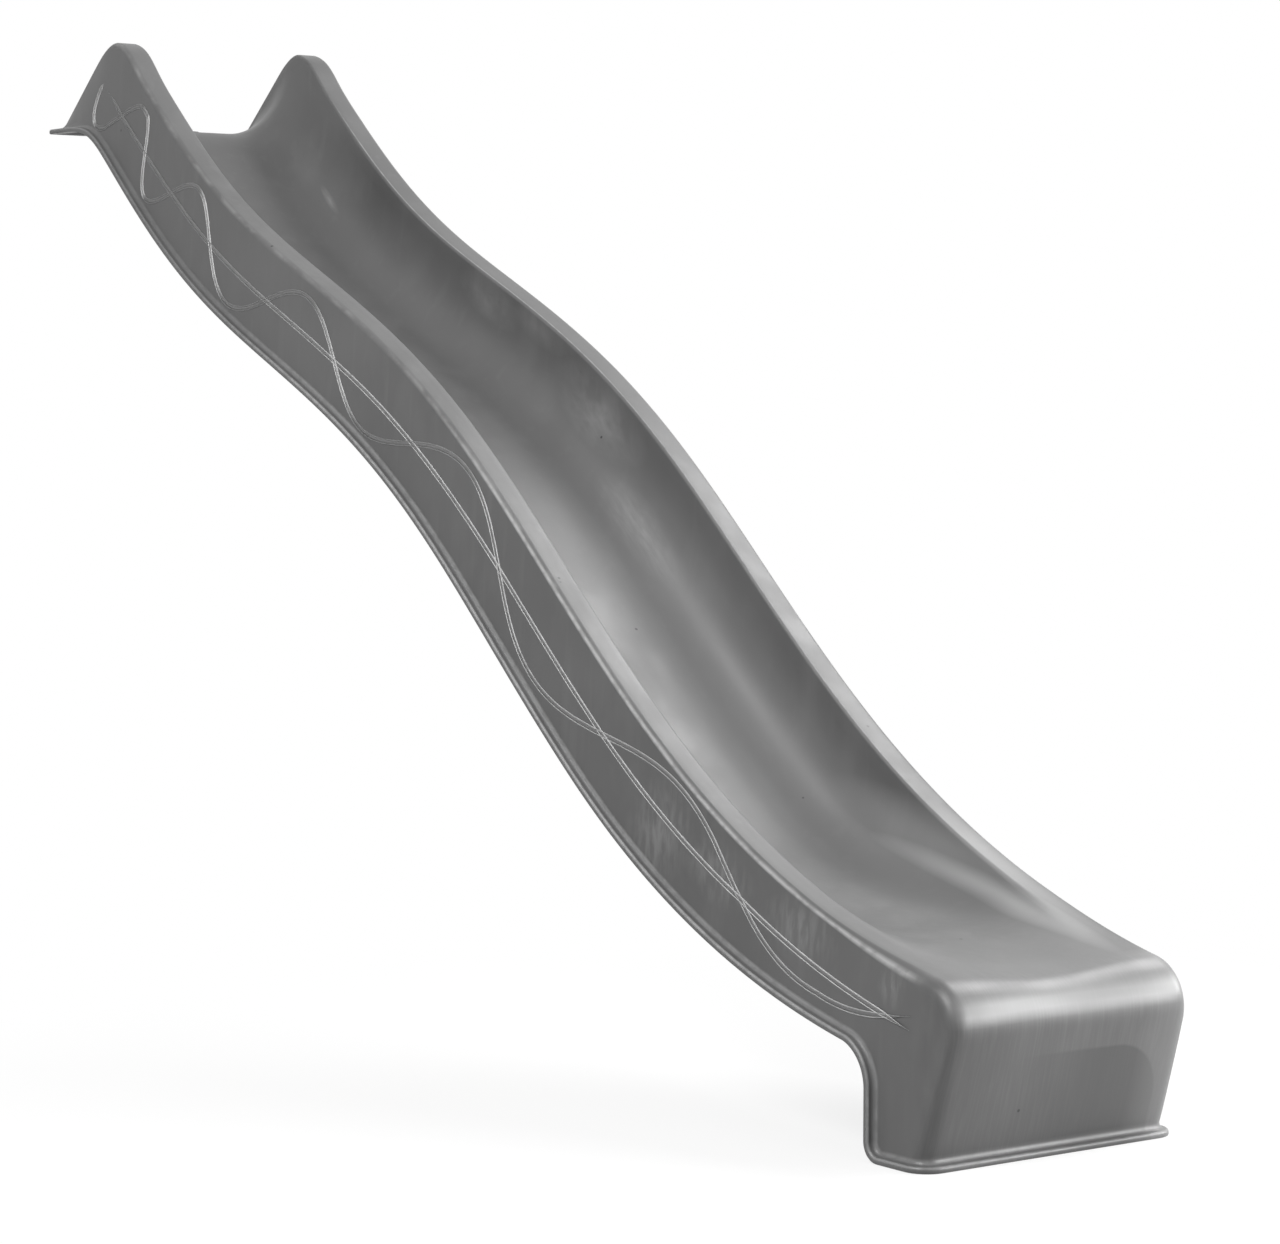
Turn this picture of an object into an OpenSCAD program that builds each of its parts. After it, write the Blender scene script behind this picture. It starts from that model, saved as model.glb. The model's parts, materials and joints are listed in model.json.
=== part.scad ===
// A wavy slide for a garden play tower: one hollow-backed plastic moulding whose lip lies on the
// platform and whose foot stands on the ground, with its lip screws and its garden hose inlet.
// Millimetres, +X downhill, +Z up. The origin is midway between the two lip screws, on the
// underside of the lip, so the ground lies platform_h below it.

/* [Platform and lip] */
// Height of the platform that the lip lies on, above the ground
platform_h = 1500; // [1480:5:1540]
// Level run of the hand rail's line over the lip
lip_run = 34; // [28:1:40]
// Distance between the two lip screws
screw_spacing = 100; // [80:5:110]
// From the rear edge of the lip's plate to the screws
screw_setback = 34; // [28:1:40]

/* [Course of the hand rail] */
// Length of the bend from the lip into the first slope
entry_len = 324; // [307:1:342]
// Slope at the end of that bend
entry_slope = 40.8; // [37.5:0.1:42.5]
// Length over which the slope eases into the first hollow
hollow_len = 607; // [570:1:645]
// Slope in the first hollow
hollow_slope = 24.4; // [22:0.1:28]
// Length over which the slope steepens again over the hump
dive_len = 847; // [815:1:880]
// Slope after the hump
dive_slope = 41.7; // [39.5:0.1:43]
// Length over which the slope would level off
level_len = 1507; // [1450:1:1560]
// Slope at the end of that length
level_slope = 3.9; // [2.5:0.1:7]
// Where the rail starts to turn over the nose, along the rail
nose_at = 2867; // [2850:1:2880]

/* [Section of the slide] */
// Width over the trim flange
slide_w = 470; // [444:2:496]
// Thickness of the moulded plastic
wall = 5; // [4.5:0.1:5.5]
// Draft of each side wall, from its foot to the rail
draft = 10; // [6:1:13]
// Width of the flat top of the hand rail, over its corners
band_w = 47; // [43:1:52]
// Radius of the rail's outer corner
outer_r = 10; // [8:0.5:13]
// Radius of the rail's inner corner
inner_r = 6; // [5.5:0.5:9]
// Height of the side wall from its lower edge to the rail
side_h = 165.5; // [158:0.5:176]
// Height that the side wall would shrink to where the course levels off
side_low_h = 105; // [100:1:116]
// Where the side wall starts to get lower, along the rail
side_low_at = 2095; // [2045:5:2145]
// Depth of the trough below the rail
trough_depth = 138; // [124:1:142]
// Half the width of the trough's flat floor
floor_half = 62; // [50:1:75]
// Squareness of the curve from floor to wall, where 2 is an ellipse
trough_power = 2.3; // [2:0.1:2.8]
// Where the trough starts to get shallower, along the rail
shallow_at = 2234; // [2180:2:2280]
// Where it has become a shallow dish
dish_at = 2834; // [2800:2:2850]
// Depth of that dish
dish_depth = 12; // [6:1:16]

/* [Ears beside the entry] */
// From the rear edge of the lip's plate to each ear
ear_setback = 3; // [2:1:8]
// Radius of the ear's outer corner along its raked rear edge
ear_edge_r = 6; // [4:0.5:10]
// Angle of the ear's rear edge above the lip
ear_rake = 39; // [36.5:0.5:41.5]
// Height of the ear's peak above the run of the rail
ear_rise = 14; // [10:0.5:20]
// Where the peak is, along the rail
ear_at = 235; // [227:1:243]
// How far the peak spreads along the rail
ear_len = 60; // [53:1:66]
// Roundness of the peak's rear corner
ear_round = 37; // [25:1:45]

/* [Foot] */
// Where the lower edge turns down into the foot, along the rail
foot_at = 2745; // [2733:1:2755]
// Radius of that turn
heel_r = 62; // [54:1:68]
// Radius of the foot's rear corner on the ground
toe_r = 28; // [25:1:33]
// Radius of the nose
nose_r = 62; // [56:1:70]
// Lean of the front face, back towards its foot
front_rake = 16.8; // [13:0.1:20]
// Radius of the foot's upright front corners
foot_corner_r = 24; // [20:1:30]

/* [Trim flange] */
// How far the flange stands out of the wall
flange_out = 13; // [10:1:15]
// Height of its outer edge
flange_t = 9; // [8:0.5:11]
// Height at which the plain wall starts above the lower edge
flange_h = 18; // [15:1:21]
// Height of the rolled edge round the lip
lip_edge_t = 8.5; // [7.5:0.5:10]

/* [Lip screws] */
// Diameter of the wood screws, over the thread
screw_d = 6; // [5:0.5:6.5]
// Length of the screws below the washers
screw_len = 45; // [40:5:60]
// Clearance round each screw in the lip's hole, on the radius
hole_clear = 0.5; // [0.4:0.1:0.8]
// Across the flats of the hexagon head
head_af = 10; // [9:0.5:11]
// Height of the head
head_h = 4; // [3.5:0.5:4.5]
// Diameter of the washers
washer_d = 22; // [20:1:24]
// Thickness of the washers
washer_t = 1.6; // [1.2:0.2:2]
// How much thinner the shank is inside the lip and between its threads, on the radius
neck_relief = 0.3; // [0.25:0.05:0.4]
// Depth of the flat seats moulded in the lip for the washers and covers
screw_seat = 0.3; // [0.2:0.1:0.5]
// Clearance between a screw cover and the washer inside it, on the radius
cover_clear = 0.3; // [0.2:0.1:0.5]
// Thickness of the screw covers
cover_t = 1.8; // [1.6:0.2:2.2]

/* [Water inlet] */
// Where the nozzle comes through the trough, along the rail
nozzle_at = 124; // [116:1:130]
// Diameter of the nozzle, over its thread
nozzle_d = 18; // [17:0.5:19]
// Diameter of the nozzle's flange in the trough
nozzle_flange_d = 30; // [29:0.5:32]
// Thickness of that flange
nozzle_flange_t = 2; // [1.8:0.1:2.4]
// Diameter of the water way inside the nozzle
water_d = 11; // [9:0.5:12]
// Diameter of each hole that lets the water out
spout_d = 2.8; // [2.4:0.1:3]
// Length of the nozzle under its flange
nozzle_len = 34; // [33:0.5:38]
// Clearance round the nozzle in the trough and in the rubber rings, on the radius
nozzle_clear = 0.4; // [0.3:0.1:0.6]
// Clearance of the threads, on the radius
thread_clear = 0.06; // [0.04:0.01:0.09]
// Thickness of the rubber rings
ring_t = 1.5; // [1.3:0.1:1.8]
// Depth of the two flat seats moulded for the rings
seat_cut = 0.7; // [0.5:0.1:0.9]
// Thickness of the plastic washer over the nut
backing_t = 2; // [1.6:0.1:2.4]
// Across the flats of the lock nut
lock_af = 25; // [24:0.5:26]
// Height of the lock nut
lock_h = 7; // [6:0.5:7.5]
// Across the flats of the swivel nut
swivel_af = 26; // [25:0.5:28]
// Length of the thread that the swivel nut holds
swivel_grip = 9; // [8:0.5:10]
// Height of the swivel nut's shoulder under the collar
shoulder_h = 2.4; // [2:0.1:3]
// Thickness of the hose tail's collar
collar_t = 2.5; // [2:0.1:3]
// Bore of a half inch garden hose, which is the outside of the spigot
hose_bore = 12.7; // [12.3:0.1:12.9]
// Length of the spigot's plain part
spigot_len = 16; // [14:1:20]
// Number of grip grooves below the plain part
groove_count = 3; // [2:1:4]
// Distance from groove to groove
groove_pitch = 4; // [3:0.5:5]

/* [Hidden] */

grey = [0.42, 0.42, 0.42];
steel = [0.7, 0.71, 0.72];
black = [0.08, 0.08, 0.08];

// Heights and widths that follow from the sizes above
ground = -platform_h;
base_half = slide_w / 2 - flange_out;
top_half = base_half - draft;
well_half = top_half - band_w;
walk_step = 5;
walk_len = lip_run + entry_len + hollow_len + dive_len + level_len;
entry_end = lip_run + entry_len + ear_setback;
foot_start = foot_at - 60;

// Steps of the loft along and across the slide
ear_steps = 22;
course_steps = 26;
foot_steps = 18;
corner_steps = 3;
inner_steps = 2;
trough_steps = 5;
floor_steps = 2;
half_rows = corner_steps + inner_steps + trough_steps + floor_steps + 2;
rows = 2 * half_rows + 1;

function ease(u) = let (c = min(max(u, 0), 1)) c * c * (3 - 2 * c);
function swing(u) = (1 - cos(180 * min(max(u, 0), 1))) / 2;
function mix(a, b, f) = a * (1 - f) + b * f;
function cross2(a, b) = a[0] * b[1] - a[1] * b[0];
function unit(v) = v / norm(v);
// The lesser of two values, rounded off where they are within k of each other
function soft_min(a, b, k) = let (h = max(k - abs(a - b), 0) / k) min(a, b) - h * h * k / 4;
// Upward normal of a line that goes downhill at the slope a
function normal(a) = [sin(a), cos(a)];
function arc_len(r, turn) = r * turn * PI / 180;

// Slope of the hand rail at s along it
function slope(s) =
    let (s1 = lip_run, s2 = s1 + entry_len, s3 = s2 + hollow_len, s4 = s3 + dive_len)
    s < s1 ? 0 :
    s < s2 ? entry_slope * swing((s - s1) / entry_len) :
    s < s3 ? mix(entry_slope, hollow_slope, swing((s - s2) / hollow_len)) :
    s < s4 ? mix(hollow_slope, dive_slope, swing((s - s3) / dive_len)) :
    mix(dive_slope, level_slope, swing((s - s4) / level_len));

// The hand rail's line, as points walk_step apart in X and Z
rail_walk = [
    for (s = 0, x = -screw_setback, z = side_h;
         s <= walk_len;
         x = x + walk_step * cos(slope(s + walk_step / 2)),
         z = z - walk_step * sin(slope(s + walk_step / 2)),
         s = s + walk_step)
    [x, z]
];
function rail(s) =
    let (i = floor(s / walk_step), f = s / walk_step - i)
    mix(rail_walk[i], rail_walk[i + 1], f);

// Height of the side wall, and its lower edge
function side(s) = mix(side_h, side_low_h, ease((s - side_low_at) / (walk_len - side_low_at)));
function lower(s) = rail(s) - side(s) * normal(slope(s));

// How far the flange has grown from the lip's thin edge to its full height
function grown(s) = ease((s - lip_run / 2) / 200);
function plate_h(s) = mix(lip_edge_t, flange_h, grown(s));
function edge_h(s) = mix(lip_edge_t, flange_t, grown(s));

// Height of the rail's top above the lower edge, with the ear and its raked rear edge
ear_foot = [ear_setback - screw_setback, lip_edge_t];
ear_line = [cos(ear_rake), sin(ear_rake)];
function raked_h(s) = cross2(ear_foot - lower(s), ear_line) / cross2(normal(slope(s)), ear_line);
function eared_h(s) = side(s) + ear_rise * exp(-pow((s - ear_at) / ear_len, 2));
function top_h(s) = max(plate_h(s), soft_min(eared_h(s), raked_h(s), ear_round));

// Depth of the trough's floor below the rail's top
function floor_h(s) = mix(wall, side_h - trough_depth, ease((s - lip_run) / entry_len));
function depth(s) =
    s < side_low_at ? max(top_h(s) - floor_h(s), 0) :
    mix(trough_depth, dish_depth, ease((s - shallow_at) / (dish_at - shallow_at)));

// The nose and the front face, as the rail's line carried on to the ground
nose_a = slope(nose_at);
nose_c = rail(nose_at) - nose_r * normal(nose_a);
front_a = 90 + front_rake;
front_top = nose_c + nose_r * normal(front_a);
front_len = (front_top[1] - ground - flange_h) / cos(front_rake);
front_foot = front_top + front_len * [-sin(front_rake), -cos(front_rake)];
over_1 = nose_at - foot_start;
over_2 = over_1 + arc_len(nose_r, front_a - nose_a);
over_3 = over_2 + front_len;
function over_slope(t) =
    t < over_1 ? slope(foot_start + t) :
    t < over_2 ? mix(nose_a, front_a, (t - over_1) / (over_2 - over_1)) :
    front_a;
function over(t) =
    t < over_1 ? rail(foot_start + t) :
    t < over_2 ? nose_c + nose_r * normal(over_slope(t)) :
    mix(front_top, front_foot, (t - over_2) / front_len);

// The lower edge round the heel, down to the ground and along it to the front
heel_a = slope(foot_at);
heel_c = lower(foot_at) - heel_r * normal(heel_a);
back_x = heel_c[0] + heel_r;
toe_c = [back_x + toe_r, ground + toe_r];
under_1 = foot_at - foot_start;
under_2 = under_1 + arc_len(heel_r, 90 - heel_a);
under_3 = under_2 + heel_c[1] - toe_c[1];
under_4 = under_3 + arc_len(toe_r, 90);
under_5 = under_4 + front_foot[0] - 1.4 * foot_corner_r - toe_c[0];
function under_slope(t) =
    t < under_1 ? slope(foot_start + t) :
    t < under_2 ? mix(heel_a, 90, (t - under_1) / (under_2 - under_1)) :
    t < under_3 ? 90 :
    t < under_4 ? mix(90, 0, (t - under_3) / (under_4 - under_3)) :
    0;
function under(t) =
    t < under_1 ? lower(foot_start + t) :
    t < under_2 ? heel_c + heel_r * normal(under_slope(t)) :
    t < under_3 ? [back_x, heel_c[1] - (t - under_2)] :
    t < under_4 ? toe_c - toe_r * normal(under_slope(t)) :
    [toe_c[0] + t - under_4, ground];

// A station of the loft: lower edge, its normal, height of the plain wall's foot over it and of
// the flange's edge, the rail's top and its normal, corner radius, depth, share of dish, draft
function course_station(s) =
    let (n = normal(slope(s)))
    [
        lower(s), n, plate_h(s), edge_h(s), lower(s) + top_h(s) * n, n,
        corner_r(s), depth(s), dished(s), draft
    ];
function foot_station(f) =
    let (
        t = f * over_3,
        down = max(t - over_1, 0) / (over_3 - over_1),
        b = f * under_5
    )
    [
        under(b), normal(under_slope(b)), flange_h, flange_t, over(t), normal(over_slope(t)),
        corner_r(foot_start + t), depth(foot_start + t) * (1 - ease(down)), dished(foot_start + t),
        draft * (1 - down)
    ];
function corner_r(s) =
    s < foot_start ?
    mix(ear_edge_r, outer_r, ease((s - ear_at / 2) / (ear_at / 2))) + nose_corner(s) :
    outer_r + nose_corner(s);
function nose_corner(s) = (foot_corner_r - outer_r) * ease((s - nose_at + 250) / 300);
function dished(s) = ease((s - dish_at + 300) / 300);

stations = concat(
    [for (s = [0, ear_setback]) course_station(s)],
    [for (k = [1 : ear_steps]) course_station(mix(ear_setback, entry_end, k / ear_steps))],
    [for (k = [1 : course_steps]) course_station(mix(entry_end, foot_start, k / course_steps))],
    [for (k = [1 : foot_steps]) foot_station(k / foot_steps)]
);
last = len(stations) - 1;

// Half a section as pairs of distance up the wall's line and half width, then depth instead
// of distance for the rows of the rail's top, its inner corner and the trough
function half_row(st, k) =
    let (
        wall_foot = st[0] + st[2] * st[1],
        rise = st[4] - wall_foot,
        h = norm(rise),
        u = h > 0.01 ? rise / h : st[5],
        r = st[6],
        half = base_half - st[9],
        k1 = k - 1,
        k2 = k1 - corner_steps - 1,
        k3 = k2 - inner_steps
    )
    k == 0 ? place(wall_foot, base_half) :
    k1 <= corner_steps ?
        let (a = 90 * k1 / corner_steps)
        place(st[4] - min(r, h) * (1 - sin(a)) * u, half - r * (1 - cos(a))) :
    let (
        band_end = well_half + inner_r,
        a = 90 * k2 / inner_steps,
        t = 90 * k3 / trough_steps,
        flat = floor_half,
        corner_d = min(inner_r, st[7]),
        trough = k3 <= 0 ?
            [corner_d * (1 - cos(a)), band_end - inner_r * sin(a)] :
            k3 <= trough_steps ?
            [
                mix(corner_d, st[7], pow(sin(t), 2 / trough_power)),
                mix(flat, well_half, pow(max(cos(t), 0), 2 / trough_power))
            ] :
            [st[7], flat * (1 - (k3 - trough_steps) / floor_steps)],
        y = band_end * (1 - k2 / (half_rows - corner_steps - 2)),
        dish = [st[7] * (1 + cos(180 * y / (band_end + outer_r))) / 2, y],
        p = mix(trough, dish, st[8])
    )
    place(st[4] - p[0] * st[5], p[1]);
function place(xz, y) = [xz[0], y, xz[1]];

function mirrored(p) = [p[0], -p[1], p[2]];
skin = [
    for (st = stations)
    let (half = [for (k = [0 : half_rows]) half_row(st, k)])
    concat([for (p = half) mirrored(p)], [for (k = [1 : half_rows]) half[half_rows - k]])
];

// The inner skin lies one wall thickness under the outer one, and ends on the lower edge
function outward(i, j) =
    let (
        p = skin[i][j],
        back = skin[max(i - 1, 0)][j],
        ahead = skin[min(i + 1, last)][j],
        near = skin[i][max(j - 1, 0)],
        far = skin[i][min(j + 1, rows - 1)],
        along = (i > 0 ? unit(p - back) : [0, 0, 0]) + (i < last ? unit(ahead - p) : [0, 0, 0]),
        across = (j > 0 ? unit(p - near) : [0, 0, 0]) + (j < rows - 1 ? unit(far - p) : [0, 0, 0])
    )
    unit(cross(along, across));
function edge_point(i, j, out, up) =
    let (
        st = stations[i],
        p = skin[i][j],
        xz = i == 0 || i == last ? [p[0], st[0][1] + up] : st[0] + up * st[1]
    )
    place(xz, p[1]) + out;
// Way out of the wall at the open ends and sides
function corner_turn(j) = let (k = min(j, rows - 1 - j)) min(max(90 * (k - 1) / corner_steps, 0), 90);
function side_sign(j) = j < half_rows ? -1 : 1;
function front_out(j) = let (a = corner_turn(j)) [sin(a), side_sign(j) * cos(a), 0];
function hang(i) = let (st = stations[i]) min(norm(st[4] - st[0]) - st[2], 20) / 20;
lining = [
    for (i = [0 : last])
    [
        for (j = [0 : rows - 1])
        i == last ? edge_point(i, j, -wall * front_out(j), 0) :
        i == 0 ? edge_point(i, j, [0, 0, 0], 0) :
        j == 0 || j == rows - 1 ? edge_point(i, j, [0, -side_sign(j) * wall * hang(i), 0], 0) :
        skin[i][j] - wall * outward(i, j)
    ]
];

// The flange's rim as station, row and way out, once round: near side, front, far side, lip
rim = concat(
    [for (a = [60, 30]) [0, 0, [-sin(a), -cos(a), 0]]],
    [for (i = [0 : last - 1]) [i, 0, [0, -1, 0]]],
    [for (j = [0 : rows - 1]) [last, j, front_out(j)]],
    [for (i = [last - 1 : -1 : 0]) [i, rows - 1, [0, 1, 0]]],
    [for (a = [30, 60]) [0, rows - 1, [-sin(a), cos(a), 0]]],
    [for (j = [rows - 1 : -1 : 0]) [0, j, [-1, 0, 0]]]
);
function rim_points(e) =
    let (t = stations[e[0]][3])
    [
        edge_point(e[0], e[1], 0.7 * flange_out * e[2], t),
        edge_point(e[0], e[1], flange_out * e[2], t - 2),
        edge_point(e[0], e[1], flange_out * e[2], 0)
    ];

skin_count = len(stations) * rows;
shell_points = concat(
    [for (row = skin) each row],
    [for (row = lining) each row],
    [for (e = rim) each rim_points(e)]
);
function at(i, j) = i * rows + j;
// Two triangles of a quad, split the same way on both sides of the slide
function quad(a, b, c, d, j) = j < half_rows ? [[a, b, d], [b, c, d]] : [[a, b, c], [a, c, d]];
function rim_at(e, k) = 2 * skin_count + 3 * (e % len(rim)) + k;
function rim_strip(e) =
    let (
        e0 = rim[e],
        e1 = rim[(e + 1) % len(rim)],
        w0 = at(e0[0], e0[1]),
        w1 = at(e1[0], e1[1]),
        same = w0 == w1
    )
    concat(
        same ? [] : [[w0, w1, rim_at(e, 0)]],
        [[w1, rim_at(e + 1, 0), rim_at(e, 0)]],
        [for (k = [0, 1]) each [
            [rim_at(e, k), rim_at(e + 1, k), rim_at(e, k + 1)],
            [rim_at(e + 1, k), rim_at(e + 1, k + 1), rim_at(e, k + 1)]
        ]],
        same ? [] : [[w1 + skin_count, w0 + skin_count, rim_at(e + 1, 2)]],
        [[w0 + skin_count, rim_at(e, 2), rim_at(e + 1, 2)]]
    );
shell_faces = concat(
    [
        for (i = [0 : last - 1])
        for (j = [0 : rows - 2])
        each quad(at(i, j), at(i, j + 1), at(i + 1, j + 1), at(i + 1, j), j)
    ],
    [
        for (i = [0 : last - 1])
        for (j = [0 : rows - 2])
        for (f = quad(at(i, j), at(i, j + 1), at(i + 1, j + 1), at(i + 1, j), j))
        [f[0], f[2], f[1]] + skin_count * [1, 1, 1]
    ],
    [for (e = [0 : len(rim) - 1]) each rim_strip(e)]
);

// Seat of the washers and covers, and the covers' outer radius
lip_seat = wall - screw_seat;
cover_in = washer_d / 2 + cover_clear;
cover_r = cover_in + cover_t;

// Axes of the two screws
module at_screws() {
    for (side = [-1, 1])
        translate([0, side * screw_spacing / 2, 0])
            children();
}

// Frame of the water inlet: origin on the trough's upper skin, Z out of the trough
nozzle_a = slope(nozzle_at);
nozzle_xz = lower(nozzle_at) + floor_h(nozzle_at) * normal(nozzle_a);
module at_nozzle() {
    translate([nozzle_xz[0], 0, nozzle_xz[1]])
        rotate([0, nozzle_a, 0])
            children();
}
nozzle_r = nozzle_d / 2;
top_seat = -seat_cut;
flange_z = top_seat + ring_t;
back_seat = seat_cut - wall;
backing_z = back_seat - ring_t;
lock_z = backing_z - backing_t;
nozzle_end = flange_z - nozzle_len;
collar_z = nozzle_end - ring_t;
swivel_floor = collar_z - collar_t - thread_clear;
swivel_end = swivel_floor - shoulder_h;
seat_d = nozzle_flange_d + 3;
backing_d = nozzle_flange_d;
chamber_r = nozzle_r + thread_clear;
spigot_r = hose_bore / 2;
neck_r = spigot_r + 0.9;
neck_end = swivel_end - 2;
spigot_end = neck_end - spigot_len;
tail_end = spigot_end - groove_count * groove_pitch;

// A ring from z up to z + t
module ring(r_out, r_in, z, t) {
    translate([0, 0, z])
        difference() {
            cylinder(r = r_out, h = t, $fn = 64);
            translate([0, 0, -1])
                cylinder(r = r_in, h = t + 2, $fn = 64);
        }
}
// A hexagon nut from z up to z + h, with its corners turned off at both ends
module hex_nut(af, h, z) {
    corner = af / cos(30) / 2;
    bevel = corner - af / 2;
    translate([0, 0, z])
        intersection() {
            cylinder(r = corner, h = h, $fn = 6);
            rotate_extrude($fn = 64)
                polygon([
                    [0, 0], [af / 2, 0], [corner, bevel * 0.6], [corner, h - bevel * 0.6],
                    [af / 2, h], [0, h]
                ]);
        }
}

module slide_shell() {
    color(grey)
        difference() {
            polyhedron(points = shell_points, faces = shell_faces, convexity = 12);
            at_screws() {
                translate([0, 0, -10])
                    cylinder(r = screw_d / 2 + hole_clear, h = wall + 20, $fn = 48);
                translate([0, 0, lip_seat])
                    cylinder(r = cover_r + hole_clear, h = 20, $fn = 64);
            }
            at_nozzle() {
                translate([0, 0, -wall - 20])
                    cylinder(r = nozzle_r + nozzle_clear, h = wall + 40, $fn = 64);
                translate([0, 0, top_seat])
                    cylinder(d = seat_d, h = 20, $fn = 64);
                translate([0, 0, back_seat - 20])
                    cylinder(d = seat_d, h = 20, $fn = 64);
            }
        }
}

// Hexagon-head wood screws: a plain shank through the lip, then annular thread and a point
thread_pitch = 2.6;
thread_depth = 0.8;
plain_len = 18;
point_len = 5;
module lip_screws() {
    r = screw_d / 2;
    r_neck = r - neck_relief;
    head_z = lip_seat + washer_t;
    thread_z = head_z - plain_len;
    point_z = head_z - screw_len + point_len;
    turns = floor((thread_z - point_z) / thread_pitch);
    color(steel)
        at_screws() {
            hex_nut(head_af, head_h, head_z);
            rotate_extrude($fn = 48)
                polygon(concat(
                    [[0, head_z + 0.5], [r_neck, head_z + 0.5], [r_neck, 0], [r, -neck_relief], [r, thread_z]],
                    [
                        for (k = [0 : turns - 1])
                        for (q = [[-thread_depth, 0.3], [-thread_depth, 0.75], [0, 0.9], [0, 1]])
                        [r_neck + q[0], thread_z - (k + q[1]) * thread_pitch]
                    ],
                    [[0, head_z - screw_len]]
                ));
        }
}

module lip_washers() {
    color(steel)
        at_screws()
            ring(washer_d / 2, screw_d / 2 + hole_clear, lip_seat, washer_t);
}

// Domed covers that snap over the washers and stand on the lip
module screw_covers() {
    r_in = cover_in;
    r_out = cover_r;
    room = washer_t + head_h + 0.8;
    color(grey)
        at_screws()
            translate([0, 0, lip_seat])
                difference() {
                    union() {
                        cylinder(r = r_out, h = 1.2, $fn = 64);
                        translate([0, 0, 1.2])
                            cylinder(r1 = r_out, r2 = r_out - room * 0.6, h = room + cover_t - 1.2, $fn = 64);
                    }
                    translate([0, 0, -1])
                        cylinder(r = r_in, h = washer_t + 1, $fn = 64);
                    translate([0, 0, washer_t - 0.01])
                        cylinder(r1 = r_in, r2 = r_in - room * 0.55, h = room - washer_t, $fn = 64);
                }
}

// Inlet nozzle: bevelled flange in the trough, six spouts round one, and a hollow threaded stem
module water_nozzle() {
    flange_r = nozzle_flange_d / 2;
    color(black)
        at_nozzle()
            difference() {
                union() {
                    translate([0, 0, flange_z])
                        cylinder(r = flange_r, h = nozzle_flange_t / 2, $fn = 64);
                    translate([0, 0, flange_z + nozzle_flange_t / 2])
                        cylinder(r1 = flange_r, r2 = flange_r - 2, h = nozzle_flange_t / 2, $fn = 64);
                    translate([0, 0, nozzle_end])
                        cylinder(r = nozzle_r, h = nozzle_len + 0.5, $fn = 64);
                }
                translate([0, 0, nozzle_end - 1])
                    cylinder(d = water_d, h = nozzle_len + 1, $fn = 48);
                for (a = [0 : 60 : 300])
                    rotate([0, 0, a])
                        translate([water_d / 2 - spout_d / 2 - 0.4, 0, flange_z - 1])
                            cylinder(d = spout_d, h = nozzle_flange_t + 2, $fn = 24);
                translate([0, 0, flange_z - 1])
                    cylinder(d = spout_d - 0.6, h = nozzle_flange_t + 2, $fn = 24);
            }
}

module nozzle_seal() {
    color(black)
        at_nozzle()
            ring(nozzle_flange_d / 2 - 0.5, nozzle_r + nozzle_clear, top_seat, ring_t);
}

module backing_seal() {
    color(black)
        at_nozzle()
            ring(backing_d / 2, nozzle_r + nozzle_clear, backing_z, ring_t);
}

module backing_washer() {
    color(grey)
        at_nozzle()
            ring(backing_d / 2, nozzle_r + thread_clear, lock_z, backing_t);
}

module lock_nut() {
    color(black)
        at_nozzle()
            difference() {
                hex_nut(lock_af, lock_h, lock_z - lock_h);
                translate([0, 0, lock_z - lock_h - 1])
                    cylinder(r = nozzle_r + thread_clear, h = lock_h + 2, $fn = 64);
            }
}

module union_seal() {
    color(black)
        at_nozzle()
            ring(nozzle_r - 0.4, water_d / 2, collar_z, ring_t);
}

// Hose tail: collar inside the swivel nut, neck, plain spigot and the grooves that grip the hose
module hose_tail() {
    groove = 0.7;
    color(black)
        at_nozzle()
            rotate_extrude($fn = 64)
                polygon(concat(
                    [
                        [water_d / 2 - 1, collar_z], [nozzle_r - 0.3, collar_z],
                        [nozzle_r - 0.3, collar_z - collar_t], [neck_r, collar_z - collar_t],
                        [neck_r, neck_end + 1], [spigot_r, neck_end]
                    ],
                    [
                        for (k = [0 : groove_count - 1])
                        for (q = [[0, 0], [-groove, 0.2], [0, 1]])
                        [spigot_r + q[0], spigot_end - (k + q[1] * 0.9) * groove_pitch]
                    ],
                    [[spigot_r - 0.5, tail_end], [water_d / 2 - 1, tail_end]]
                ));
}

module swivel_nut() {
    color(black)
        at_nozzle()
            difference() {
                hex_nut(swivel_af, nozzle_end + swivel_grip - swivel_end, swivel_end);
                translate([0, 0, swivel_floor])
                    cylinder(r = chamber_r, h = 60, $fn = 64);
                translate([0, 0, swivel_end - 1])
                    cylinder(r = neck_r + thread_clear, h = 60, $fn = 64);
            }
}

slide_shell();
lip_screws();
lip_washers();
screw_covers();
water_nozzle();
nozzle_seal();
backing_seal();
backing_washer();
lock_nut();
union_seal();
hose_tail();
swivel_nut();
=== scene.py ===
# %% [markdown]
# # A garden water slide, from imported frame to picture
# The frame holds twelve plain CAD nodes on two bodies, slide and swivel. This script gives
# them their looks: a finer moulded shell, its raised ornament, and the finish of each material.
# Lengths are in metres in the scene, and in millimetres in the shell's own sizes.

# %% Load the frame
import json
import math
import bpy
import numpy as np
from mathutils import Vector, Matrix


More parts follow.
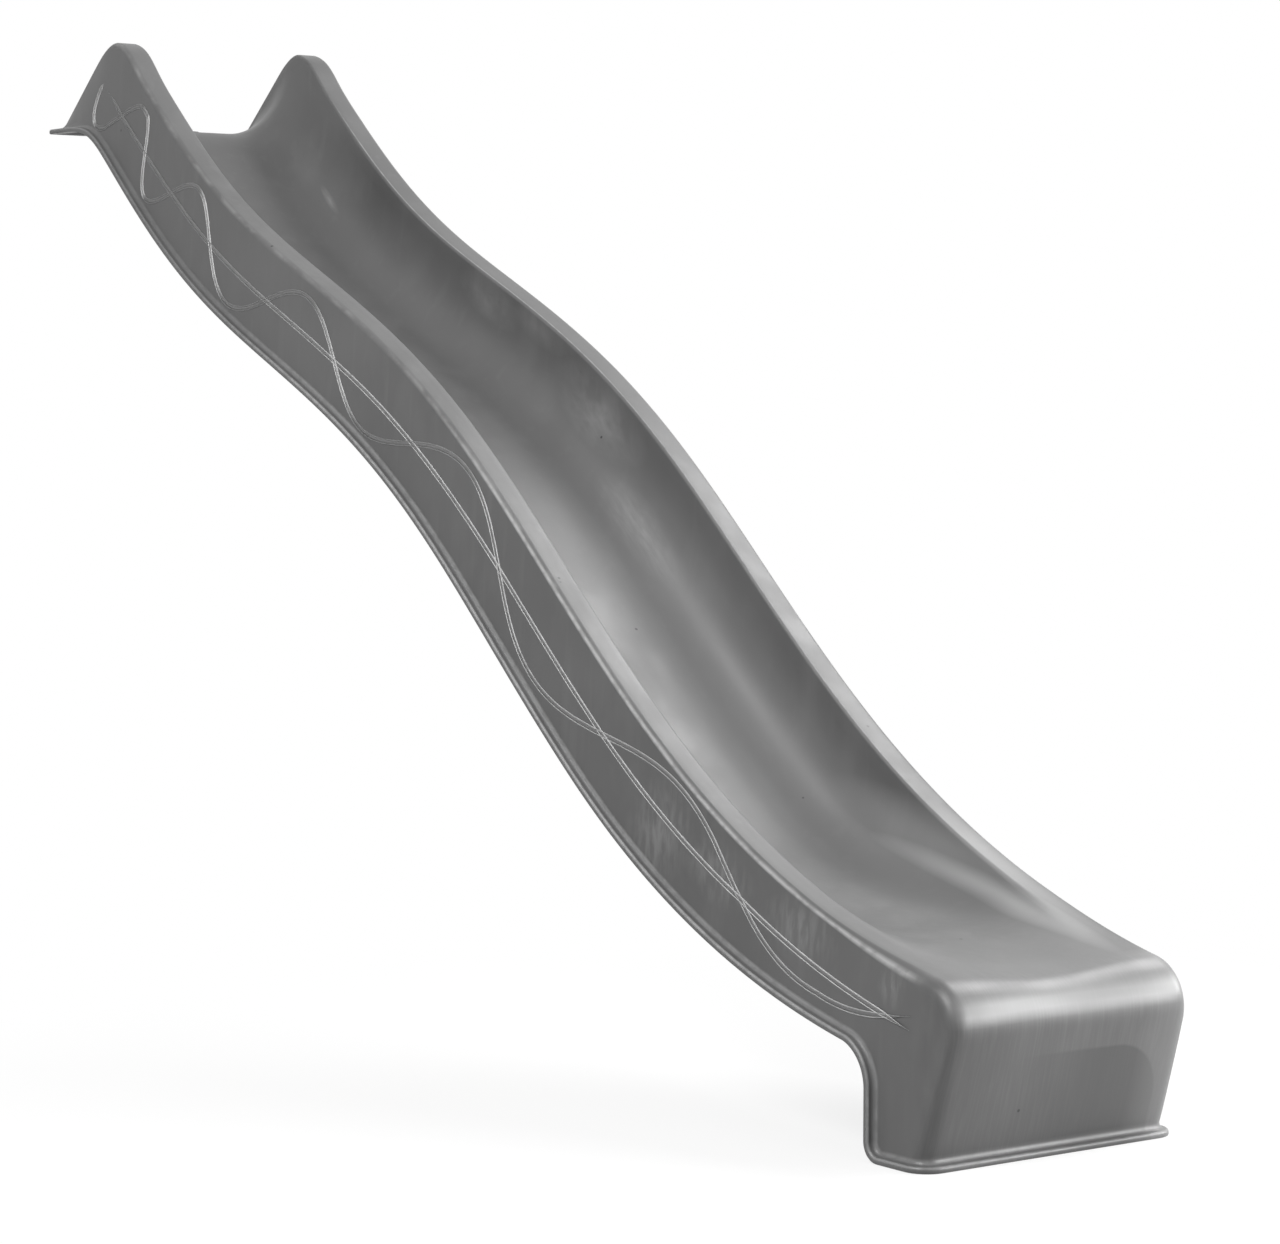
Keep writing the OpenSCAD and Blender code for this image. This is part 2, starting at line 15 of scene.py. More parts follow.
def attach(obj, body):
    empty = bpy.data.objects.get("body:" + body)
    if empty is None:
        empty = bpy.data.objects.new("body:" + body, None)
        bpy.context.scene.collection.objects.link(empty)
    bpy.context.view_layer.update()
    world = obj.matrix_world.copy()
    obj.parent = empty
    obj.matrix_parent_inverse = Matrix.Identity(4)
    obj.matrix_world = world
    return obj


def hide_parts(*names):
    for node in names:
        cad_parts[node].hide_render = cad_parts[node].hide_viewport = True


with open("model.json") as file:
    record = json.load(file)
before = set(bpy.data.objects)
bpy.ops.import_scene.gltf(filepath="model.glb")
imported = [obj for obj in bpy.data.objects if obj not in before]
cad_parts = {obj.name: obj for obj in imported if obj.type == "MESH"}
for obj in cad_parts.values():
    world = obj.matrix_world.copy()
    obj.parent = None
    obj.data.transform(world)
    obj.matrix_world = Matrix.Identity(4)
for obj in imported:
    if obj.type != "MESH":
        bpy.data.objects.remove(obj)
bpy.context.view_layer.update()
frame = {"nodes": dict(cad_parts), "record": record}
scene = bpy.context.scene
print("nodes", sorted(frame["nodes"]))


def add_object(name, data):
    """An object with this data, put in the scene."""
    thing = bpy.data.objects.new(name, data)
    scene.collection.objects.link(thing)
    return thing


# %% [markdown]
# ## Camera
# The photograph was taken from a little above the slide's foot, on its near side. A camera can be
# placed by eye, but this long course shows every degree of error. So the lens, the place and the
# small shift come from fitting the slide's own outline.

# %% Camera
AZIMUTH, ELEVATION, ROLL = 53.9176, 3.3786, 0.1164
CAMERA_AT = (6.0270, -3.3351, -0.4823)
FOCAL_PX, WIDTH_PX, SENSOR = 3652.0, 1280, 36.0
SHIFT_PX = (9.293, -7.257)
az, el = math.radians(AZIMUTH), math.radians(ELEVATION)
view = Vector((-math.sin(az) * math.cos(el), math.cos(az) * math.cos(el), -math.sin(el)))
right = view.cross(Vector((0, 0, 1))).normalized()
up = right.cross(view)
roll = math.radians(ROLL)
right, up = right * math.cos(roll) + up * math.sin(roll), up * math.cos(roll) - right * math.sin(roll)
cam_data = bpy.data.cameras.new("camera")
cam_data.sensor_width = SENSOR
cam_data.lens = FOCAL_PX / WIDTH_PX * SENSOR
cam_data.shift_x = SHIFT_PX[0] / WIDTH_PX
cam_data.shift_y = SHIFT_PX[1] / WIDTH_PX
cam = add_object("camera", cam_data)
cam.matrix_world = Matrix.Translation(CAMERA_AT) @ Matrix((right, up, -view)).transposed().to_4x4()
scene.camera = cam
print("camera looks along", [round(c, 3) for c in view])

# %% [markdown]
# ## Light and background
# The photograph's light is soft and comes from all round, as from large sheets in a studio. A
# picture of a sky would light it too, but lamps can be set one by one against the photograph.
# Five soft lamps do it: one high on the near side for the walls, one high on the far side that
# draws the streak along the nose and the trough, one low in front, a small one before the foot,
# and a weak one overhead. Together they show a colour about as it is written. Only the camera,
# reflections and clear parts see white: the world that lights the object is a faint grey.

# %% Node helpers
def linear(hex_colour):
    """An sRGB colour written as hex, as linear RGBA."""
    values = [int(hex_colour[i:i + 2], 16) / 255 for i in (1, 3, 5)]
    return tuple(c / 12.92 if c <= 0.04045 else ((c + 0.055) / 1.055) ** 2.4 for c in values) + (1.0,)


def add_node(at, kind, inputs=None, **settings):
    """A node with its settings, and its inputs linked to sockets or set to values.

    It goes into the tree that is given, or into the tree of the socket that is given.
    """
    tree = at.id_data
    node = tree.nodes.new(kind)
    for key, value in settings.items():
        setattr(node, key, value)
    for key, value in (inputs or {}).items():
        if isinstance(value, bpy.types.NodeSocket):
            tree.links.new(value, node.inputs[key])
        else:
            node.inputs[key].default_value = value
    return node


def chained(operation, first, *more):
    """A socket taken together with others, or with numbers, one after another."""
    for value in more:
        first = add_node(first, "ShaderNodeMath", {0: first, 1: value}, operation=operation).outputs[0]
    return first


def new_material(name):
    """An empty material with its output and its object's own coordinates."""
    material = bpy.data.materials.new(name)
    material.use_nodes = True
    tree = material.node_tree
    tree.nodes.clear()
    out = tree.nodes.new("ShaderNodeOutputMaterial")
    return material, out, add_node(tree, "ShaderNodeTexCoord").outputs["Object"]


# %% World
GREY_LIGHT, WHITE_SEEN = 0.05, 1.0


def seen_by(tree, *rays):
    """One along the rays that somebody looks along, nought along those that carry light."""
    paths = add_node(tree, "ShaderNodeLightPath").outputs
    return chained("MAXIMUM", *[paths[ray] for ray in rays])


world = bpy.data.worlds.new("studio")
scene.world = world
world.use_nodes = True
wt = world.node_tree
wt.nodes.clear()
seen = seen_by(wt, "Is Camera Ray", "Is Glossy Ray", "Is Transmission Ray")
grey_sky = add_node(wt, "ShaderNodeBackground", {"Color": (1, 1, 1, 1), "Strength": GREY_LIGHT})
white_sky = add_node(wt, "ShaderNodeBackground", {"Color": (1, 1, 1, 1), "Strength": WHITE_SEEN})
sky = add_node(wt, "ShaderNodeMixShader", {0: seen, 1: grey_sky.outputs[0], 2: white_sky.outputs[0]})
wt.links.new(sky.outputs[0], wt.nodes.new("ShaderNodeOutputWorld").inputs["Surface"])
print("world lights with", GREY_LIGHT, "and is seen as", WHITE_SEEN)


# %% Lamps
def soft_lamp(name, place, aim, size, watts):
    """A square area lamp at a place, turned to what it lights. The camera doesn't see it."""
    data = bpy.data.lights.new(name, "AREA")
    data.shape, data.size, data.energy = "SQUARE", size, watts
    lamp = add_object(name, data)
    lamp.visible_camera = False
    way = Vector(aim) - Vector(place)
    lamp.matrix_world = Matrix.Translation(place) @ way.to_track_quat("-Z", "Y").to_matrix().to_4x4()


soft_lamp("near_side_lamp", (2.8, -3.4, 2.4), (1.8, 0.0, -0.8), 2.4, 206)
soft_lamp("far_side_lamp", (1.8, 2.7, 2.4), (1.9, 0.0, -1.0), 2.2, 126)
soft_lamp("front_lamp", (4.1, 3.4, 0.2), (1.9, 0.0, -1.0), 1.8, 115)
soft_lamp("foot_lamp", (3.5, 0.75, -1.1), (2.43, 0.05, -1.32), 0.5, 12)
soft_lamp("overhead_lamp", (3.2, 0.0, 3.0), (1.8, 0.0, -0.8), 3.0, 26)
print("lamps", sorted(light.name for light in bpy.data.lights))

# %% [markdown]
# ## Floor
# The slide's foot stands on the ground, 1.5 m under the lip. A plain white floor would need more
# light on the object, so this one is pale and matt, and a glow that only the camera and the
# reflections see carries it up to the backdrop's white. Near the foot it goes only part of the
# way, so that the shadow still shows, and further off all of it.

# %% Floor
FLOOR_Z = -1.5005
FLOOR_SPAN = (-14, 16)
FLOOR_GREY, GLOW, GLOW_SHARE = 0.42, 1.58, 0.5
SHADOW_AT, SHADOW_FROM, SHADOW_TO = (2.1, 0.0, -1.5), 0.7, 1.6
low, high = FLOOR_SPAN
floor_mesh = bpy.data.meshes.new("floor")
corners = [(low, low, FLOOR_Z), (high, low, FLOOR_Z), (high, -low, FLOOR_Z), (low, -low, FLOOR_Z)]
floor_mesh.from_pydata(corners, [], [(0, 1, 2, 3)])
floor = add_object("floor", floor_mesh)
paper, out, where = new_material("white studio paper")
pt = out.id_data
matt = add_node(pt, "ShaderNodeBsdfDiffuse", {"Color": (FLOOR_GREY, FLOOR_GREY, FLOOR_GREY, 1)})
glow = add_node(pt, "ShaderNodeEmission", {"Color": (1, 1, 1, 1), "Strength": GLOW})
near_foot = add_node(pt, "ShaderNodeMixShader", {0: GLOW_SHARE, 1: matt.outputs[0], 2: glow.outputs[0]})
white = add_node(pt, "ShaderNodeEmission", {"Color": (1, 1, 1, 1), "Strength": WHITE_SEEN})
reach = add_node(pt, "ShaderNodeVectorMath", {0: where, 1: SHADOW_AT}, operation="DISTANCE").outputs["Value"]
far_off = add_node(pt, "ShaderNodeMapRange", {"Value": reach, "From Min": SHADOW_FROM, "From Max": SHADOW_TO},
                   clamp=True)
shown = add_node(pt, "ShaderNodeMixShader",
                 {0: far_off.outputs[0], 1: near_foot.outputs[0], 2: white.outputs[0]})
seen = seen_by(pt, "Is Camera Ray", "Is Glossy Ray")
pick = add_node(pt, "ShaderNodeMixShader", {0: seen, 1: matt.outputs[0], 2: shown.outputs[0]})
pt.links.new(pick.outputs[0], out.inputs["Surface"])
floor_mesh.materials.append(paper)
print("floor at", FLOOR_Z)

# %% [markdown]
# ## The moulded shell
# The real slide is one thin moulding of polyethylene, about 5 mm thick from rail to foot. The hand
# rail's line leads it: four stretches of smoothly changing slope, level at the lip, steep at
# first, easier over the hump, steep again, then run out. At each station along that line a
# section is laid: skirt, rounded rail, flat band, trough, and the same mirrored. It could be
# sculpted or smoothed from the CAD mesh, but this is the CAD's own rule with finer steps, so the
# two agree and every highlight runs clean.

# %% Sizes of the shell, in millimetres
PLATFORM_H, LIP_RUN, SETBACK = 1500.0, 34.0, 34.0
ENTRY_LEN, ENTRY_SLOPE, HOLLOW_LEN, HOLLOW_SLOPE = 324.0, 40.8, 607.0, 24.4
DIVE_LEN, DIVE_SLOPE, LEVEL_LEN, LEVEL_SLOPE = 847.0, 41.7, 1507.0, 3.9
NOSE_AT, NOSE_R, FRONT_RAKE, FOOT_CORNER_R = 2867.0, 62.0, 16.8, 24.0
SLIDE_W, WALL, DRAFT, BAND_W, OUTER_R, INNER_R = 470.0, 5.0, 10.0, 47.0, 10.0, 6.0
SIDE_H, SIDE_LOW_H, SIDE_LOW_AT = 165.5, 105.0, 2095.0
TROUGH_DEPTH, FLOOR_HALF, TROUGH_POWER = 138.0, 62.0, 2.3
SHALLOW_AT, DISH_AT, DISH_DEPTH = 2234.0, 2834.0, 12.0
EAR_SETBACK, EAR_EDGE_R, EAR_RAKE, EAR_RISE = 3.0, 6.0, 39.0, 14.0
EAR_AT, EAR_LEN, EAR_ROUND = 235.0, 60.0, 37.0
FOOT_AT, FOOT_START, HEEL_R, TOE_R = 2745.0, 2685.0, 62.0, 28.0
FLANGE_OUT, FLANGE_T, FLANGE_H, LIP_EDGE_T = 13.0, 9.0, 18.0, 8.5
WALK_LEN = LIP_RUN + ENTRY_LEN + HOLLOW_LEN + DIVE_LEN + LEVEL_LEN
BASE_HALF = SLIDE_W / 2 - FLANGE_OUT
WELL_HALF = BASE_HALF - DRAFT - BAND_W
GROUND = -PLATFORM_H


# %% The rail's line
def ease(u):
    """A smooth step from 0 to 1 with level ends."""
    c = np.clip(u, 0, 1)
    return c * c * (3 - 2 * c)


def swing(u):
    """Half a cosine wave from 0 to 1."""
    return (1 - np.cos(np.pi * np.clip(u, 0, 1))) / 2


def mix(a, b, f):
    """What lies a share f of the way from a to b."""
    return a * (1 - f) + b * f


def normal(a):
    """Upward normal, in X and Z, of a line that goes downhill at a degrees."""
    return np.stack([np.sin(np.radians(a)), np.cos(np.radians(a))], -1)


def slope(s):
    """Degrees downhill at a length s along the hand rail's line."""
    s = np.asarray(s, float)
    s1 = LIP_RUN
    s2, s3, s4 = s1 + ENTRY_LEN, s1 + ENTRY_LEN + HOLLOW_LEN, s1 + ENTRY_LEN + HOLLOW_LEN + DIVE_LEN
    return np.select(
        [s < end for end in (s1, s2, s3, s4)],
        [0 * s, ENTRY_SLOPE * swing((s - s1) / ENTRY_LEN),
         mix(ENTRY_SLOPE, HOLLOW_SLOPE, swing((s - s2) / HOLLOW_LEN)),
         mix(HOLLOW_SLOPE, DIVE_SLOPE, swing((s - s3) / DIVE_LEN))],
        mix(DIVE_SLOPE, LEVEL_SLOPE, swing((s - s4) / LEVEL_LEN)))


WALK_STEP = 2.0
WALK = np.arange(0, WALK_LEN + WALK_STEP, WALK_STEP)
downhill = np.radians(slope(WALK + WALK_STEP / 2))
WALK_X = -SETBACK + np.r_[0, np.cumsum(WALK_STEP * np.cos(downhill))][:-1]
WALK_Z = SIDE_H - np.r_[0, np.cumsum(WALK_STEP * np.sin(downhill))][:-1]


def rail(s):
    """Point of the hand rail's line, in X and Z."""
    return np.stack([np.interp(s, WALK, WALK_X), np.interp(s, WALK, WALK_Z)], -1)


def side(s):
    """Height of the side wall, which gets lower towards the foot."""
    return mix(SIDE_H, SIDE_LOW_H, ease((s - SIDE_LOW_AT) / (WALK_LEN - SIDE_LOW_AT)))


def lower(s):
    """Point of the wall's foot, square under the hand rail's line."""
    return rail(s) - np.asarray(side(s))[..., None] * normal(slope(s))


print("rail runs from", rail(0.0).round(1), "to", rail(NOSE_AT).round(1))


# %% Heights along the line: flange, ears, trough and corners
FLANGE_GROWS = 200.0


def grown(s):
    """From 0 at the lip to 1 where the flange has its full height."""
    return ease((s - LIP_RUN / 2) / FLANGE_GROWS)


def plate_h(s):
    """Height at which the flange's fillet meets the wall."""
    return mix(LIP_EDGE_T, FLANGE_H, grown(s))


def edge_h(s):
    """Height of the flange's flat."""
    return mix(LIP_EDGE_T, FLANGE_T, grown(s))


def cross2(a, b):
    """Cross product of vectors in X and Z."""
    return a[..., 0] * b[..., 1] - a[..., 1] * b[..., 0]


def top_h(s):
    """Height of the rail over the wall's foot, with the ear beside the entry and its rake."""
    line = np.array([math.cos(math.radians(EAR_RAKE)), math.sin(math.radians(EAR_RAKE))])
    foot = np.array([EAR_SETBACK - SETBACK, LIP_EDGE_T])
    raked = cross2(foot - lower(s), line) / cross2(normal(slope(s)), line)
    eared = side(s) + EAR_RISE * np.exp(-((s - EAR_AT) / EAR_LEN) ** 2)
    h = np.maximum(EAR_ROUND - abs(eared - raked), 0) / EAR_ROUND
    return np.maximum(plate_h(s), np.minimum(eared, raked) - h * h * EAR_ROUND / 4)


def depth(s):
    """Depth of the trough under the rail."""
    floor_h = mix(WALL, SIDE_H - TROUGH_DEPTH, ease((s - LIP_RUN) / ENTRY_LEN))
    return np.where(s < SIDE_LOW_AT, np.maximum(top_h(s) - floor_h, 0),
                    mix(TROUGH_DEPTH, DISH_DEPTH, ease((s - SHALLOW_AT) / (DISH_AT - SHALLOW_AT))))


CORNER_GROWS, CORNER_LEAD, DISH_GROWS = 300.0, 250.0, 300.0


def nose_corner(s):
    """What the foot's rounder corner adds to the rail's corner."""
    return (FOOT_CORNER_R - OUTER_R) * ease((s - NOSE_AT + CORNER_LEAD) / CORNER_GROWS)


def corner_r(s):
    """Radius of the rail's outer corner."""
    early = mix(EAR_EDGE_R, OUTER_R, ease((s - EAR_AT / 2) / (EAR_AT / 2)))
    return np.where(s < FOOT_START, early, OUTER_R) + nose_corner(s)


def dished(s):
    """From 0 for a trough with walls to 1 for a shallow dish."""
    return ease((s - DISH_AT + DISH_GROWS) / DISH_GROWS)


print("rail over the wall's foot, at the ear and half way", top_h(np.array([EAR_AT, WALK_LEN / 2])).round(1))


# %% [markdown]
# ### Foot
# The foot is a box with an open bottom. Its upper line goes over the rounded nose and down a
# raked front, and its lower line turns under the heel to the ground. Both are walked at once, so
# that each section joins a point of the one to a point of the other.

# %% The foot's two lines
HEEL_LEAD, CORNER_ROOM = FOOT_AT - FOOT_START, 1.4
NOSE_A = float(slope(NOSE_AT))
FRONT_A = 90 + FRONT_RAKE
NOSE_C = rail(NOSE_AT) - NOSE_R * normal(NOSE_A)
FRONT_TOP = NOSE_C + NOSE_R * normal(FRONT_A)
FRONT_WAY = normal(FRONT_RAKE)
FRONT_LEN = (FRONT_TOP[1] - GROUND - FLANGE_H) / FRONT_WAY[1]
FRONT_FOOT = FRONT_TOP - FRONT_LEN * FRONT_WAY
OVER_1 = NOSE_AT - FOOT_START
OVER_2 = OVER_1 + NOSE_R * math.radians(FRONT_A - NOSE_A)
OVER_3 = OVER_2 + FRONT_LEN
HEEL_A = float(slope(FOOT_AT))
HEEL_C = lower(FOOT_AT) - HEEL_R * normal(HEEL_A)
BACK_X = HEEL_C[0] + HEEL_R
TOE_C = np.array([BACK_X + TOE_R, GROUND + TOE_R])
UNDER_1 = HEEL_LEAD
UNDER_2 = UNDER_1 + HEEL_R * math.radians(90 - HEEL_A)
UNDER_3 = UNDER_2 + HEEL_C[1] - TOE_C[1]
UNDER_4 = UNDER_3 + TOE_R * math.pi / 2
UNDER_5 = UNDER_4 + FRONT_FOOT[0] - CORNER_ROOM * FOOT_CORNER_R - TOE_C[0]
UNDER_ENDS = (UNDER_1, UNDER_2, UNDER_3, UNDER_4)


def over_slope(t):
    """Degrees downhill at a length t over the nose and down the front."""
    return np.select([t < OVER_1, t < OVER_2],
                     [slope(FOOT_START + t), mix(NOSE_A, FRONT_A, (t - OVER_1) / (OVER_2 - OVER_1))], FRONT_A)


def over(t):
    """Point at a length t over the nose and down the front."""
    return np.where((t < OVER_1)[:, None], rail(FOOT_START + t),
                    np.where((t < OVER_2)[:, None], NOSE_C + NOSE_R * normal(over_slope(t)),
                             mix(FRONT_TOP, FRONT_FOOT, ((t - OVER_2) / FRONT_LEN)[:, None])))


def under_slope(t):
    """Degrees downhill at a length t round the heel and along the ground."""
    return np.select([t < end for end in UNDER_ENDS],
                     [slope(FOOT_START + t), mix(HEEL_A, 90, (t - UNDER_1) / (UNDER_2 - UNDER_1)),
                      90 + 0 * t, mix(90, 0, (t - UNDER_3) / (UNDER_4 - UNDER_3))], 0 * t)


def under(t):
    """Point at a length t round the heel and along the ground."""
    n = normal(under_slope(t))
    return np.select(
        [(t < end)[:, None] for end in UNDER_ENDS],
        [lower(FOOT_START + t), HEEL_C + HEEL_R * n,
         np.stack([BACK_X + 0 * t, HEEL_C[1] - (t - UNDER_2)], -1), TOE_C - TOE_R * n],
        np.stack([TOE_C[0] + t - UNDER_4, GROUND + 0 * t], -1))


print("nose turns about", NOSE_C.round(1), "and the front is", round(float(FRONT_LEN), 1), "long")


# %% Stations of the loft
LIP_STATIONS, COURSE_STATIONS, FOOT_STATIONS = 90, 150, 90


def stations(s, f):
    """Everything a section needs: s along the course, then f from 0 to 1 round the foot."""
    t, b = f * OVER_3, f * UNDER_5
    down = np.maximum(t - OVER_1, 0) / (OVER_3 - OVER_1)
    course = dict(base=lower(s), way=normal(slope(s)), plate=plate_h(s), edge=edge_h(s),
                  top=lower(s) + top_h(s)[:, None] * normal(slope(s)), top_way=normal(slope(s)),
                  corner=corner_r(s), deep=depth(s), dish=dished(s), draft=DRAFT + 0 * s, walk=s)
    foot = dict(base=under(b), way=normal(under_slope(b)), plate=FLANGE_H + 0 * f, edge=FLANGE_T + 0 * f,
                top=over(t), top_way=normal(over_slope(t)), corner=corner_r(FOOT_START + t),
                deep=depth(FOOT_START + t) * (1 - ease(down)), dish=dished(FOOT_START + t),
                draft=DRAFT * (1 - down), walk=FOOT_START + t)
    return {key: np.concatenate([course[key], foot[key]]) for key in course}


SPAN = LIP_RUN + ENTRY_LEN + EAR_SETBACK
course_s = np.concatenate([[0, EAR_SETBACK], np.linspace(EAR_SETBACK, SPAN, LIP_STATIONS + 1)[1:],
                           np.linspace(SPAN, FOOT_START, COURSE_STATIONS + 1)[1:]])
foot_f = np.linspace(0, 1, FOOT_STATIONS + 1)[1:]
STATION = stations(course_s, foot_f)
print("stations", len(STATION["walk"]))

# %% [markdown]
# ### Sections
# The moulding is one skin of even thickness, so its section is one line. Half a section goes up
# the skirt, round the rail's outer corner, along the flat band, round its inner corner, down the
# trough's wall and across its floor. Near the foot the trough flattens out into a shallow dish.
# Solid blocks and Booleans could make the form too, but would leave creases where they meet.

# %% Sections
WALL_STEPS, CORNER_STEPS, BAND_STEPS, INNER_STEPS, TROUGH_STEPS, FLOOR_STEPS = 6, 8, 3, 5, 16, 6
# RUB_AT and RUB_FALL place the pale band on the rail's outer corner: rubbing and a painted highlight.
RUB_AT, RUB_FALL = 0.55, 1.8
top, top_way, deep = STATION["top"], STATION["top_way"], STATION["deep"]
wall_foot = STATION["base"] + STATION["plate"][:, None] * STATION["way"]
rise = top - wall_foot
height = np.linalg.norm(rise, axis=1)
upward = np.where((height > 0.01)[:, None], rise / np.maximum(height, 1e-9)[:, None], top_way)
top_half = BASE_HALF - STATION["draft"]
bend = np.minimum(STATION["corner"], height)
half_rows, half_tags = [], []


def put(xz, y, tag):
    """One more row of the half section, with how much it gets rubbed and painted with a highlight."""
    half_rows.append(np.stack([xz[:, 0], y + 0 * xz[:, 0], xz[:, 1]], 1))
    half_tags.append(tag)


wall_top = top - bend[:, None] * upward
for k in range(WALL_STEPS):
    g = k / WALL_STEPS
    put(mix(wall_foot, wall_top, g), mix(BASE_HALF, top_half, g), 0.0)
for k in range(CORNER_STEPS + 1):
    a = math.pi / 2 * k / CORNER_STEPS
    # The corner's middle rows are pale from rubbing and from a painted highlight.
    rub_and_highlight = max(0.0, 1 - abs(k / CORNER_STEPS - RUB_AT) * RUB_FALL)
    bent = top - (bend * (1 - math.sin(a)))[:, None] * upward
    put(bent, top_half - STATION["corner"] * (1 - math.cos(a)), rub_and_highlight)
band_end = WELL_HALF + INNER_R
for k in range(1, BAND_STEPS):
    g = k / BAND_STEPS
    put(top, mix(top_half - STATION["corner"], band_end, g), 0.0)
corner_d = np.minimum(INNER_R, deep)
total = INNER_STEPS + TROUGH_STEPS + FLOOR_STEPS
for k in range(total + 1):
    a = math.pi / 2 * min(k, INNER_STEPS) / INNER_STEPS
    j = k - INNER_STEPS
    if j <= 0:
        down, out_y = corner_d * (1 - math.cos(a)), band_end - INNER_R * math.sin(a)
    elif j <= TROUGH_STEPS:
        t = math.pi / 2 * j / TROUGH_STEPS
        down = mix(corner_d, deep, math.sin(t) ** (2 / TROUGH_POWER))
        out_y = mix(FLOOR_HALF, WELL_HALF, max(math.cos(t), 0) ** (2 / TROUGH_POWER))
    else:
        down, out_y = deep, FLOOR_HALF * (1 - (j - TROUGH_STEPS) / FLOOR_STEPS)
    y = band_end * (1 - k / total)
    dish = deep * (1 + math.cos(math.pi * y / (band_end + OUTER_R))) / 2
    sunk = mix(down, dish, STATION["dish"])
    put(top - sunk[:, None] * top_way, mix(out_y, y, STATION["dish"]), 0.0)
half = np.stack(half_rows, 1)
near = half * np.array([1, -1, 1])
skin = np.concatenate([near, half[:, -2::-1]], 1)
tags = np.array(half_tags + half_tags[-2::-1])
n_st, n_rows = skin.shape[:2]
mid = n_rows // 2
print("skin of", n_st, "sections with", n_rows, "points each")


# %% Lining: the same skin one wall thickness further in, ending on the lower edge
HANG = 20.0


def unit(v):
    """Vectors made one long."""
    return v / np.maximum(np.linalg.norm(v, axis=-1, keepdims=True), 1e-9)


along = np.zeros_like(skin)
step = unit(skin[1:] - skin[:-1])
along[1:] += step
along[:-1] += step
across = np.zeros_like(skin)
step = unit(skin[:, 1:] - skin[:, :-1])
across[:, 1:] += step
across[:, :-1] += step
outward = unit(np.cross(along, across))
lining = skin - WALL * outward
sign = np.where(np.arange(n_rows) < mid, -1.0, 1.0)
from_edge = np.minimum(np.arange(n_rows), n_rows - 1 - np.arange(n_rows))
turn = np.radians(np.clip(90 * (from_edge - WALL_STEPS) / CORNER_STEPS, 0, 90))
front_way = np.stack([np.sin(turn), sign * np.cos(turn), 0 * turn], 1)


def edge_point(i, j, out, up):
    """A point of the lower edge at a station and row, moved outwards and up."""
    p = skin[i, j]
    if i in (0, n_st - 1):
        x, z = p[0], STATION["base"][i][1] + up
    else:
        x, z = STATION["base"][i] + up * STATION["way"][i]
    return np.array([x, p[1], z]) + out


hang = np.minimum(np.linalg.norm(top - STATION["base"], axis=1) - STATION["plate"], HANG) / HANG
for i in range(n_st):
    for j in (0, n_rows - 1):
        lining[i, j] = edge_point(i, j, np.array([0, -sign[j] * WALL * hang[i], 0]), 0)
for j in range(n_rows):
    lining[0, j] = edge_point(0, j, np.zeros(3), 0)
    lining[-1, j] = edge_point(n_st - 1, j, -WALL * front_way[j], 0)
gap = np.median(np.linalg.norm(lining - skin, axis=-1))
print("lining lies", round(float(gap), 2), "mm inside the skin")

# %% [markdown]
# ### Trim flange
# A flange runs round the whole lower edge, where the mould closes. It stiffens the thin sheet and
# gives the edge a rounded lip. Its section is a small fillet, a flat, and a rounded outer edge. A
# bevelled curve could follow the edge, but it wouldn't share points with the wall, so the section
# is laid at every point of the edge and joined to skin and lining in one closed mesh.

# %% Flange's section and its way round the edge
LIP_TURN = np.radians([15, 30, 45, 60, 75])
FLAT_FROM, FLAT_TO, ROUND_SHARE, ROUND_DROP = 0.58, 0.70, 0.30, 4.0
rim = [(0, 0, (-math.sin(a), -math.cos(a), 0)) for a in LIP_TURN[::-1]]
rim += [(i, 0, (0, -1, 0)) for i in range(n_st - 1)]
rim += [(n_st - 1, j, tuple(front_way[j])) for j in range(n_rows)]
rim += [(i, n_rows - 1, (0, 1, 0)) for i in range(n_st - 2, -1, -1)]
rim += [(0, n_rows - 1, (-math.sin(a), math.cos(a), 0)) for a in LIP_TURN]
rim += [(0, j, (-1, 0, 0)) for j in range(n_rows - 1, -1, -1)]


def flange_profile(i):
    """Distance out and height of the flange's section, from the wall's foot round to its underside."""
    plate, edge = float(STATION["plate"][i]), float(STATION["edge"][i])
    points = []
    for u in (0.25, 0.5, 0.75, 1.0):
        out = FLAT_FROM * FLANGE_OUT * (u * u * 0.9 + 0.1 * u)
        points.append((out, plate + (edge - plate) * (2 * u - u * u)))
    points.append((FLAT_TO * FLANGE_OUT, edge))
    for a in np.radians([22.5, 45, 67.5, 90]):
        out = FLAT_TO * FLANGE_OUT + ROUND_SHARE * FLANGE_OUT * math.sin(a)
        points.append((out, edge - ROUND_DROP * (1 - math.cos(a))))
    points += [(FLANGE_OUT, 1.6), (FLANGE_OUT - 0.5, 0.5), (FLANGE_OUT - 1.6, 0.0)]
    return points


PROFILE = len(flange_profile(0))
print("flange goes through", len(rim), "places with", PROFILE, "points each")

